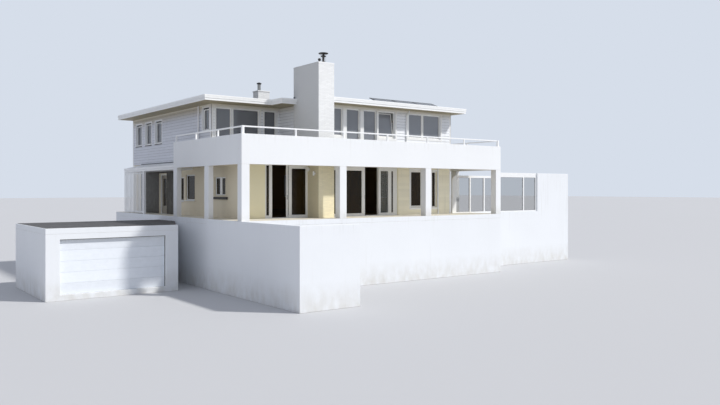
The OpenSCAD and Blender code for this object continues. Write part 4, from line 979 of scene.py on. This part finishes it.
# Cowls: four stays and two rims on the tall one, a sleeve with two bands on the pot.
stays = Shape()
flues = solids("chimney_cowls")
for (x0, y0, z), (x1, y1, top) in (max(flues, key=lambda s: s[1][2]), max(flues, key=lambda s: s[0][1])):
    x, y, h = (x0 + x1) / 2, (y0 + y1) / 2, top - z
    if y < Y0:
        for k in range(4):
            w = math.radians(45 + 90 * k)
            bends = ((0.108, 0.02), (0.122, 0.3 * h), (0.135, 0.66 * h), (0.19, 0.88 * h))
            stays.tube([(x + r * math.cos(w), y + r * math.sin(w), z + rise) for r, rise in bends], 0.006, 8)
        for rise, r in ((0.06, 0.113), (0.94, 0.205)):
            stays.lathe((x, y, z + rise * h - 0.012), mm(r, 0, (-10, 0), (0, 3), (0, 21), (-10, 24)), 40)
        stays.lathe((x, y, z - 0.002), mm(0, 0, (170, 0), (170, 14), (125, 30), (112, 60)), 40)
    else:
        stays.lathe((x, y, z), [(0.093, 0.0), (0.096, 0.004), (0.096, 0.74 * h), (0.092, 0.745 * h)], 40)
        for rise in (0.3, 0.6):
            stays.lathe((x, y, z + rise * h), mm(0, 0, (96, 0), (100, 3), (100, 13), (96, 16)), 40)
piece("cowl_stays", stays, STEEL, smooth=True)


# Roof: trims, soffit, felt.
def roof_loop():
    """The corners of the roof's top face, in order."""
    bm = welded("roof")
    bmesh.ops.dissolve_limit(bm, angle_limit=0.01, verts=bm.verts, edges=bm.edges)
    top = max(bm.faces, key=lambda f: (round(f.calc_center_median().z, 3), f.normal.z))
    loop = [tuple(np.round(v.co[:2], 4)) for v in top.verts]
    bm.free()
    first = loop.index(min(loop))
    return [np.array(p) - SHIFT[:2] for p in loop[first:] + loop[:first]]


def offset_loop(points, by):
    """The outline moved inwards (it turns left) by a distance."""
    out = []
    for i, p in enumerate(points):
        a, b = p - points[i - 1], points[(i + 1) % len(points)] - p
        na, nb = (np.array([-w[1], w[0]]) / np.linalg.norm(w) for w in (a, b))
        out.append(p + (na + nb) * by / (1 + na @ nb))
    return out


def inside(points, x, y):
    hit = False
    for i, p in enumerate(points):
        q = points[i - 1]
        if (p[1] > y) != (q[1] > y) and x < (q[0] - p[0]) * (y - p[1]) / (q[1] - p[1]) + p[0]:
            hit = not hit
    return hit


def cells_of(points):
    """An outline with right angles as rectangles between its own coordinates."""
    xs, ys = (sorted({round(p[k], 4) for p in points}) for k in (0, 1))
    cells = [(a, b, c, d) for a, b in zip(xs, xs[1:]) for c, d in zip(ys, ys[1:])]
    return [q for q in cells if inside(points, (q[0] + q[1]) / 2, (q[2] + q[3]) / 2)]


LOOP = roof_loop()
edge = Shape()
# the drip trim at the top, the small step under it, and the lower fascia board below a dark groove
for z, section in ((ROOF, ((50, 22), (-4, 22), (-8, 18), (-8, -40), (-4, -46), (0, -42), (0, 4), (50, 4))),
                   (SOFFIT + 0.11, ((20, 12), (-5, 12), (-7, 8), (-5, -4), (20, -4))),
                   (SOFFIT, ((70, 78), (18, 78), (14, 74), (14, -6), (18, -10), (70, -10)))):
    rings = [[(x, y, h) for x, y in offset_loop(LOOP, inset)] for inset, h in mm(0, z, *section)]
    edge.loft(list(zip(*rings)), ring=True)
piece("roof_edge_trim", edge, FASCIA)

# soffit boards run along X between the wall and the stepped edge
SOFFIT_W, SOFFIT_GAP = 0.12, 0.004
soffit = Shape()
low_loop = offset_loop(LOOP, 0.05)
walls = [(X0 - 0.02, X1 + 0.02, LEFT_Y - 0.02, Y1 + 0.02), (STEP_X - 0.02, X1 + 0.02, Y0 - 0.02, LEFT_Y),
         (clo[0] - 0.008, chi[0] + 0.008, clo[1] - 1, chi[1] + 0.008)]
for y in steps(min(p[1] for p in low_loop), max(p[1] for p in low_loop), SOFFIT_W):
    strips = [(a, b, max(c, y), min(d, y + SOFFIT_W - SOFFIT_GAP)) for a, b, c, d in cells_of(low_loop)]
    merged = []
    for s in sorted(minus(minus(strips, least=0.01), *walls)):
        last = merged[-1] if merged else (0, FAR, 0, 0)
        if max(abs(last[1] - s[0]), abs(last[2] - s[2]), abs(last[3] - s[3])) < 1e-3:
            merged[-1] = (last[0], s[1], s[2], s[3])
        else:
            merged.append(s)
    for a, b, c, d in merged:
        if b - a > 0.02 and d - c > 0.01:
            soffit.box((a, c, SOFFIT - 0.012), (b, d, SOFFIT + 0.002), 0.002, RNG.random())
piece("soffit_boards", soffit, SOFFIT_SHADE)

# felt in strips a metre wide with lapped seams
FELT_W = 1.0
felt = Shape()
chimneys = [(lo[0], hi[0], lo[1], hi[1]) for lo, hi in ((body_lo, body_hi), (clo, chi))]
inner_loop = offset_loop(LOOP, 0.045)
for x in steps(min(p[0] for p in inner_loop), max(p[0] for p in inner_loop), FELT_W):
    strips = [(max(a, x), min(b, x + FELT_W), c, d) for a, b, c, d in cells_of(inner_loop)]
    tone = RNG.random()
    for a, b, c, d in minus(minus(strips, least=0.01), *chimneys):
        felt.box((a, c, ROOF - 0.002), (b, d, ROOF + 0.006), 0.001, tone)
        if abs(b - (x + FELT_W)) < 1e-6:
            felt.box((b - 0.05, c, ROOF + 0.004), (b + 0.03, d, ROOF + 0.0095), 0.002, tone)
piece("roof_felt_strips", felt, FELT)

# Solar panels: a framed sheet of cells, on triangular plates with bars on two edges.
PANEL_T, PANEL_EDGE, CELLS_X, CELLS_Y, CELL_GAP = 0.04, 0.03, 9, 6, 0.002
BRACKET_IN, BAR_W = 0.24, 0.04
panels, cells, mounts = shapes(3)
for lo, hi in solids("solar_panels"):
    w, l, rise = hi[0] - lo[0], hi[1] - lo[1], hi[2] - lo[2] - PANEL_T
    tilt = math.atan2(rise, l)
    plane = Tilted(lo + (0, 0, 0.002), tilt)
    top, length, e = PANEL_T * math.cos(tilt), l / math.cos(tilt) - 0.012, PANEL_EDGE
    field = (e, w - e, e, length - e)
    for a, b, c, d in minus([(0, w, 0, length)], field):
        panels.box((a, c, top - 0.036), (b, d, top), 0.002, 0.5, plane)
    a, b, c, d = grow(field, 0.004)
    panels.box((a, c, top - 0.012), (b, d, top - 0.008), 0.001, 0.2, plane)
    sx, sy = (w - 2 * e - 0.02) / CELLS_X, (length - 2 * e - 0.02) / CELLS_Y
    for i, j in product(range(CELLS_X), range(CELLS_Y)):
        (x0, x1), (y0, y1) = ([e + 0.01 + k * s + CELL_GAP, e + 0.01 + (k + 1) * s - CELL_GAP]
                              for k, s in ((i, sx), (j, sy)))
        cells.box((x0, y0, top - 0.009), (x1, y1, top - 0.006), 0.001, RNG.random(), plane)
    for u in (lo[0] + BRACKET_IN, hi[0] - BRACKET_IN - BAR_W):
        front_end, back_end = lo[1] + 0.05, hi[1] - 0.02
        plate = [(front_end, ROOF + 0.008), (back_end, ROOF + 0.008), (back_end, hi[2] - 0.07)]
        mounts.loft([[(u + x, y, z) for y, z in plate] for x in (0.016, 0.024)], 0.4)
        mounts.box((u, lo[1] + 0.02, ROOF + 0.005), (u + BAR_W, hi[1] - 0.01, ROOF + 0.03), 0.002)
        mounts.box((u, hi[1] - 0.05, ROOF + 0.02), (u + BAR_W, hi[1] - 0.01, hi[2] - 0.05), 0.002)
    mounts.box((lo[0] + 0.1, hi[1] - 0.16, ROOF + 0.006), (hi[0] - 0.1, hi[1] - 0.08, ROOF + 0.055),
               0.004, 0.9)
piece("solar_panel_frames", panels, DARK, replaces="solar_panels")
piece("solar_cells", cells, CELLS)
piece("solar_mounts", mounts, DARK)

# Terrace railing.
RAIL_W, POST, CORNER_POST, FRONT_BAYS, SIDE_BAYS = 0.065, 0.08, 0.12, 6, 3
rail = Shape()
rail_lo, rail_hi = span("terrace_railing")
x0, y0 = rail_lo[0] + CORNER_POST / 2, rail_lo[1] + CORNER_POST / 2
x1, y1, head = rail_hi[0] - CORNER_POST / 2, rail_hi[1] - POST / 2, rail_hi[2]
half = RAIL_W / 2
rail.box((x0, y0 - half, head - RAIL_W), (x1, y0 + half, head), 0.008)
for x in (x0, x1):
    rail.box((x - half, y0, head - RAIL_W), (x + half, y1 + half, head), 0.008)
front_bay, side_bay = (x1 - x0) / FRONT_BAYS, (y1 - y0) / SIDE_BAYS
posts = [(x0 + k * front_bay, y0, POST) for k in range(1, FRONT_BAYS)]
posts += [(x, y0 + k * side_bay, POST) for x in (x0, x1) for k in range(1, SIDE_BAYS + 1)]
posts += [(x, y0, CORNER_POST) for x in (x0, x1)]
for px, py, thick in posts:
    corner = thick == CORNER_POST
    w, top = thick / 2, head if corner else head - RAIL_W + 0.004
    foot, bolts = (0.025, 0.012) if corner else (0.035, 0.017)
    rail.box((px - w, py - w, PARAPET + 0.002), (px + w, py + w, top), 0.006)
    w += foot
    rail.box((px - w, py - w, PARAPET - 0.001), (px + w, py + w, PARAPET + 0.008), 0.002)
    w -= bolts
    for bx, by in ((-w, -w), (w, -w), (w, w), (-w, w)):
        rail.bolt((px + bx, py + by, PARAPET + 0.008), 0.008, 0.006)
piece("terrace_handrail", rail, RAIL, replaces="terrace_railing")

# Downpipes.
PIPE_R, PIPE_OUT, NECK_DROP = 0.038, 0.062, 0.30
pipes = Shape()


def pipe_fittings(x, y, sockets, brackets, front):
    """Sockets at some heights of a pipe, and at others brackets back to the wall."""
    for z in sockets:
        pipes.lathe((x, y, z), mm(PIPE_R, 0, (0, 0), (6, 3), (6, 70), (3, 75), (0, 78)), 24)
    for z in brackets:
        pipes.lathe((x, y, z), mm(PIPE_R, 0, (1, 0), (5, 1), (5, 29), (1, 30)), 24)
        lo, hi = ((x - 0.012, y), (x + 0.012, Y0)) if front else ((x, y - 0.012), (X0, y + 0.012))
        pipes.box((*lo, z + 0.004), (*hi, z + 0.026), 0.002)


def arc(a, b, c, r, n=5):
    """Points of a rounded corner at b between a and c."""
    a, b, c = (np.array(p, float) for p in (a, b, c))
    u, w = ((p - b) / np.linalg.norm(p - b) for p in (a, c))
    half = math.acos(max(-1, min(1, u @ w))) / 2
    centre = b + (u + w) / np.linalg.norm(u + w) * r / math.sin(half)
    p, q = (b + way * r / math.tan(half) - centre for way in (u, w))
    total = math.acos(max(-1, min(1, (p @ q) / r / r)))
    return [centre + (math.sin((1 - k / n) * total) * p + math.sin(k / n * total) * q) / math.sin(total)
            for k in range(n + 1)]


pipe_boxes = solids("downpipes")
neck_lo, neck_hi = max(pipe_boxes, key=lambda s: s[1][0] - s[0][0])
x0, x1, y, bend = neck_lo[0] + 0.042, neck_hi[0] - 0.042, Y0 - PIPE_OUT, SOFFIT - NECK_DROP
low_bend, high_bend = (x0, y, bend), (x1, y, bend + x1 - x0)
pipes.tube([(x0, y, TERRACE + 0.03)] + arc((x0, y, TERRACE), low_bend, high_bend, 0.11)
           + arc(low_bend, high_bend, (x1, y, SOFFIT + 1), 0.06) + [(x1, y, SOFFIT)], PIPE_R, 20)
pipe_fittings(x0, y, (TERRACE + 0.03, TERRACE + 1.2), (TERRACE + 0.35, TERRACE + 1.6), True)
for lo, hi in pipe_boxes:
    if hi[0] - lo[0] < 0.2:
        x, y, foot = (lo[0] + hi[0]) / 2, (lo[1] + hi[1]) / 2, lo[2]
        front = y < Y0
        x, y = (x, Y0 - PIPE_OUT) if front else (X0 - PIPE_OUT, y)
        pipes.tube([(x, y, foot + 0.01), (x, y, hi[2])], PIPE_R, 20)
        pipe_fittings(x, y, (foot + 0.01, foot + 1.4), (foot + 0.4, foot + 1.25, foot + 2.1), front)
piece("downpipes_dressed", pipes, RAIL, replaces="downpipes", smooth=True)

# Sills, the kitchen shelf, and a dark strip under each upper west sill that is a painted shadow.
SHELF_T, SILL_END = 0.1, 0.05
sills, shelf = shapes(2)
for lo, hi in solids("window_sills"):
    side = SIDES["left" if lo[0] < X0 - 0.01 else "right" if hi[0] > X1 + 0.01 else "back"]
    u0, u1, z0, z1, _, _ = side.local(lo, hi)
    out = max(X0 - lo[0], hi[0] - X1, hi[1] - Y1)
    if hi[2] - lo[2] > SHELF_T:
        lip = mm(-out, z0, (14, 0), (6, 8)) + mm(-out, z1, (6, -30), (0, -26), (0, -4), (4, 0))
        shelf.bar([(0.0, z0)] + lip + [(0.0, z1 + 0.004)], u0, u1, 0.4, side)
        continue
    # painted shadow: a dark strip under each upper west sill
    if side is WEST and z0 > TERRACE:
        shelf.sheet((u0 + 0.01, u1 - 0.01, z0 - 0.034, z0 + 0.016), -out + 0.012, -0.002, 0.004, 0.4, side)
    nose = mm(-out, z1, (4, -4), (0, -8)) + mm(-out, z0, (0, 16), (10, 12), (12, 20))
    sills.bar(mm(REVEAL, z1, (4, -4), (4, 10)) + nose + [(0.0, z0 + 0.02), (0.0, z1 - 0.004)],
              u0 + SILL_END, u1 - SILL_END, 0.5, side)
    for a, b in ((u0, u0 + SILL_END), (u1 - SILL_END, u1)):
        sills.bar([(-0.001, z0 + 0.02), (-0.001, z1 - 0.002)] + nose, a, b, 0.5, side)
piece("window_sills_dressed", sills, TRIM, replaces="window_sills")
piece("kitchen_shelf", shelf, DARK)

# Lamps: a tube on a short arm and a wall plate.
LAMP_R = 0.045
lamps = Shape()
for lo, hi in solids("wall_lamps"):
    # the arm runs along y to the front wall, or along x to the stack
    k, wall, arm_end = (1, LEFT_Y - 0.012, 0.006) if hi[1] > LEFT_Y - 0.01 else (0, clo[0], 0.004)
    mid = (lo + hi) / 2
    mid[k] = lo[k] + LAMP_R
    tube = mm(0, 0, (34, 4), (40, 0), (45, 4), (45, 216), (40, 220), (34, 216))
    lamps.lathe((mid[0], mid[1], lo[2]), tube)
    for w, h, a, b, c in ((0.012, 0.02, mid[k] + 0.03, wall - arm_end, 0.003),
                          (0.035, 0.05, wall - 0.014, wall, 0.004)):
        low, high = mid - (w, w, h), mid + (w, w, h)
        low[k], high[k] = a, b
        lamps.box(low, high, c)
piece("wall_lamps_dressed", lamps, RAIL, replaces="wall_lamps", smooth=True)

# Garage door: ribbed sections with fine joints, in a rubber seal whose dark side and top strips are also a
# painted shadow of the door's recess.
SECTIONS = 5
lo, hi = span("garage_door")
side = Side("front", lo[1])
sections, seal = shapes(2, side)
height = (hi[2] - lo[2]) / SECTIONS
for k in range(SECTIONS):
    a, b = lo[2] + k * height + 0.002, lo[2] + (k + 1) * height - 0.002
    section = mm(0, a, (45, 4), (7, 0), (2, 3), (0, 7))
    for share in (0.34, 0.67):
        section += mm(0, a + (b - a) * share, (0, -6), (3, -2), (3, 2), (0, 6))
    section += mm(0, b, (0, -7), (2, -3), (7, 0), (45, -4))
    sections.bar(section, lo[0] + 0.004, hi[0] - 0.004, RNG.random())
SEAL_SHADOW_W = 0.03
seal.sheet((lo[0] + 0.002, hi[0] - 0.002, lo[2] - 0.004, lo[2] + 0.02), 0.005, 0.04, 0.004)
# side and top strips of dark rubber: a seal, and a painted shadow of the door's recess
for rect in ((lo[0], lo[0] + SEAL_SHADOW_W, lo[2], hi[2]), (hi[0] - SEAL_SHADOW_W, hi[0], lo[2], hi[2]),
             (lo[0], hi[0], hi[2] - SEAL_SHADOW_W, hi[2])):
    seal.sheet(rect, -0.004, 0.044, 0.002)
piece("garage_door_sections", sections, DOOR, replaces="garage_door")
piece("garage_door_seal_and_shadow", seal, RUBBER)


# Paving and floors.
def cut(points, a, b):
    """The part of a convex outline that lies on the left of the line from a to b."""
    def off(p):
        return (b[0] - a[0]) * (p[1] - a[1]) - (b[1] - a[1]) * (p[0] - a[0])
    out = []
    for i, p in enumerate(points):
        q = points[(i + 1) % len(points)]
        if off(p) >= 0:
            out.append(p)
        if off(p) * off(q) < 0:
            t = off(p) / (off(p) - off(q))
            out.append((p[0] + t * (q[0] - p[0]), p[1] + t * (q[1] - p[1])))
    return out


def tiles(name, material, fields, holes, size, z, thick, joint=0.004, origin=(0.0, 0.0), line=None):
    """Square slabs laid on a grid, cut at the edges of their fields and along a slanting line."""
    shape, (ox, oy) = Shape(), origin
    for a, b, c, d in fields:
        columns = range(math.floor((a - ox) / size), math.ceil((b - ox) / size))
        rows = range(math.floor((c - oy) / size), math.ceil((d - oy) / size))
        for i, j in product(columns, rows):
            x, y = ox + i * size, oy + j * size
            slab = (max(a, x + joint / 2), min(b, x + size - joint / 2),
                    max(c, y + joint / 2), min(d, y + size - joint / 2))
            for x0, x1, y0, y1 in minus([slab], *holes, least=0.03):
                top, tone = z + thick + RNG.uniform(0, 0.001), RNG.random()
                whole = [(x0, y0), (x1, y0), (x1, y1), (x0, y1)]
                left = cut(whole, *line) if line else whole
                if left == whole:
                    shape.box((x0, y0, z), (x1, y1, top), 0.002, tone)
                elif len(left) > 2:
                    shape.loft([[(u, v, h) for u, v in left] for h in (z, top)], tone)
    piece(name, shape, material)


PARAPET_W = 0.25
stack_hole = (clo[0] - 0.006, chi[0] + 0.006, clo[1] - 0.006, chi[1] + 0.01)
indoors = [(STEP_X - 0.02, X1, Y0, FAR), (X0, STEP_X, LEFT_Y, FAR), stack_hole,
           (STEP_X - 0.02, chi[0], chi[1], FAR)]
tiles("terrace_tiles", TILES, [(PARAPET_W, WIDE - PARAPET_W, PARAPET_W, WEST_Y1 - PARAPET_W)],
      indoors, 0.5, TERRACE, 0.022, origin=(PARAPET_W, PARAPET_W))
screen_foot = (0.0, 0.14, 12.3, 15.8)
feet = [(lo[0], hi[0], lo[1], hi[1]) for lo, hi in solids("veranda_columns")]
tiles("veranda_tiles", VERANDA, [(0.0, WIDE, 0.0, Y0), (0.0, X0, Y0, Y1), (X1, WIDE, Y0, Y1)],
      feet + [stack_hole[:3] + (chi[1],), screen_foot], 0.5, FLOOR, 0.004)
tiles("room_floor_tiles", SCREED, [(X0 + 0.30, X1 - 0.30, Y0 + 0.30, Y1 - 0.30)],
      [(stack_hole[0], stack_hole[1], 0, stack_hole[3])], 0.8, FLOOR, 0.004, joint=0.003)
deck_lo, deck_hi = span("garage_deck")
corner = (deck_lo[0] + 0.06, deck_lo[1] + 0.06)
slant = [(span("garage_front_wall")[1][0], deck_lo[1] + 0.33), (0.0, WEST_Y1 - 0.21)]
deck = (corner[0], -0.02, corner[1], deck_hi[1] - 0.06)
tiles("deck_tiles", DECK_SHADED, [deck], [], 0.3, deck_hi[2], 0.012, joint=0.005, origin=corner,
      line=slant)

# Canopy: a drip along the foot of the edge, the board above its step, boards under it, and lead on top.
CANOPY_BOARD, CANOPY_PITCH, LEAD_L = 0.118, 0.122, 0.98
lo, hi = span("porch_canopy")
u0, u1, z0 = lo[1], hi[1], lo[2]
canopy, under, flashing = Shape(Side("left", lo[0])), Shape(), Shape(WEST)
canopy.bar(mm(0, z0, (22, -6), (2, -6), (0, -2), (0, 24), (4, 28), (22, 28)), u0, u1, 0.9)
canopy.bar(mm(0, z0, (10, 112), (-8, 110), (-12, 114), (-12, 204), (-8, 214), (64, 216), (64, 208)),
           u0, u1, 0.6)
for x in steps(lo[0] + 0.03, hi[0] - 0.02, CANOPY_PITCH):
    end = min(x + CANOPY_BOARD, hi[0])
    under.box((x, u0 + 0.02, z0 - 0.010), (end, u1 - 0.02, z0 + 0.002), 0.002, RNG.random())
for u in steps(u0, u1 - 0.01, LEAD_L):
    over = 0.002 * (int(u) % 2)
    flashing.sheet((u - 0.01, min(u + 0.99, u1), SLAB - 0.03, SLAB + 0.055), -0.030 - over, 0.001, 0.002,
                   RNG.random())
piece("canopy_edge", canopy, TRIM)
piece("canopy_boards", under, TRIM)
piece("canopy_flashing", flashing, LEAD)
CANOPY_FOOT, CANOPY_END = z0, u1

# Slat screen: post, two rails and upright slats, each slat with a screw at either rail.
SCREEN_POST, SLATS, SCREEN_SLAT = 0.13, 14, 0.095
slats = Shape()
lo, hi = span("slat_screen")
start, rails = lo[1] + SCREEN_POST, (FLOOR + 0.10, hi[2] - 0.16)
slats.box((lo[0], lo[1], FLOOR), (lo[0] + SCREEN_POST, start, hi[2]), 0.006)
for z in rails:
    slats.box((lo[0] + 0.045, start - 0.002, z), (lo[0] + 0.085, hi[1], z + 0.06), 0.004)
for k in range(1, SLATS + 1):
    y = start + k * (hi[1] - start) / SLATS
    slats.box((lo[0] + 0.020, y - SCREEN_SLAT, FLOOR + 0.04), (lo[0] + 0.046, y, hi[2]), 0.003, RNG.random())
    for z in rails:
        slats.bolt((lo[0] + 0.020, y - SCREEN_SLAT / 2, z + 0.03), 0.006, 0.003, west=True)
piece("slat_screen_dressed", slats, TRIM, replaces="slat_screen")

# Upright boards on the wall of the entrance recess, near black as painted shade of the deep recess.
ENTRY_BOARD, ENTRY_PITCH = 0.112, 0.12
recess, west_openings = Shape(WEST), openings(LOWER, "left")
for y in steps(max(o[1] for o in west_openings) + 0.16, CANOPY_END - 0.02, ENTRY_PITCH):
    board = (y, min(y + ENTRY_BOARD, CANOPY_END), FLOOR + 0.01, CANOPY_FOOT - 0.012)
    for p in minus([board], *west_openings, grow(DOORWAY, 0.06), least=0.01):
        recess.sheet(p, -0.018, 0.001, 0.003, RNG.random())
piece("entrance_boards", recess, ENTRY_SHADE)

# Windscreen.
screen_glass, screen_rubber = shapes(2)
for lo, hi in solids("windscreen_glass"):
    side, rect = Side("front", lo[1]), (lo[0], hi[0], lo[2], hi[2])
    screen_glass.sheet(grow(rect, -0.002), 0.006, 0.018, 0.001, RNG.random(), side)
    screen_rubber.frame(rect, mm(0, 0, (-1, 22), (-1, 2), (8, 3), (8, 21)), 0.5, side)
piece("windscreen_panes", screen_glass, CLEAR, replaces="windscreen_glass")
piece("windscreen_gaskets", screen_rubber, RUBBER)

# The rooms behind the glass.
lining = Shape()
for units, z0, z1, t in ((LOWER, FLOOR, SLAB, 0.30), (UPPER, TERRACE, SOFFIT, 0.25)):
    for way in ("left", "right", "back"):
        u0, u1 = (X0, X1) if way == "back" else (LEFT_Y if units is UPPER and way == "left" else Y0, Y1)
        holes = openings(units, way) + [DOORWAY] * (units is LOWER and way == "left")
        for p in minus([(u0 + t, u1 - t, z0, z1)], *holes):
            lining.sheet(p, t - 0.001, t + 0.008, 0.001, 0.5, SIDES[way])
lining.box((X0 + 0.3, Y0 + 0.3, SLAB - 0.006), (X1 - 0.3, Y1 - 0.3, SLAB), 0.001)
piece("room_lining", lining, ROOM_SHADE)

# Floor, light, camera.
scene = bpy.context.scene
GROUND = 400
ground = bpy.data.meshes.new("studio_floor")
corners = ((-1, -1), (1, -1), (1, 1), (-1, 1))
ground.from_pydata([(x * GROUND, y * GROUND, -0.002) for x, y in corners], [], [(0, 1, 2, 3)])
ground.materials.append(Paint("studio_floor", (196, 197, 199), 0.9).mottle(0.006, 0.05, 2.0).done())
floor = bpy.data.objects.new("studio_floor", ground)
scene.collection.objects.link(floor)

# the sky lights the house, and camera, glossy and transmission rays see a pale backdrop instead
scene.world = world = bpy.data.worlds.new("studio")
world.use_nodes = True
world.node_tree.nodes.clear()
sky = Tree(world.node_tree)
rays = sky.node("LightPath").outputs
seen = rays["Is Camera Ray"]
for kind in ("Is Glossy Ray", "Is Transmission Ray"):
    seen = sky.node("Math", seen, rays[kind], operation="MAXIMUM").outputs[0]
light, backdrop = (sky.node("Background", linear(rgb), strength).outputs[0]
                   for rgb, strength in (((228, 234, 250), 0.58), ((214, 222, 234), 1.0)))
sky.node("OutputWorld", sky.node("MixShader", seen, light, backdrop).outputs[0])

sun = bpy.data.lights.new("key", "SUN")
sun.energy, sun.angle, sun.color = 3.0, math.radians(3.5), (1.0, 0.975, 0.94)
key = bpy.data.objects.new("key", sun)
scene.collection.objects.link(key)
turn, rise = math.radians(44), math.radians(44.5)
to_sun = Vector((math.sin(turn) * math.cos(rise), -math.cos(turn) * math.cos(rise), math.sin(rise)))
key.rotation_mode = "QUATERNION"
key.rotation_quaternion = to_sun.to_track_quat("Z", "Y")

# the photo's own camera, found from its perspective
cam = bpy.data.cameras.new("camera")
cam.sensor_width, cam.lens, cam.shift_y, cam.clip_end = 36.0, 35.7, -0.01833, 900
camera = bpy.data.objects.new("camera", cam)
camera.location = (SHIFT[0] - 15.059, SHIFT[1] - 28.993, 4.9035)
camera.rotation_euler = (math.radians(90), 0, math.radians(-36.87))
scene.collection.objects.link(camera)
scene.camera = camera
scene.view_settings.view_transform = "Standard"
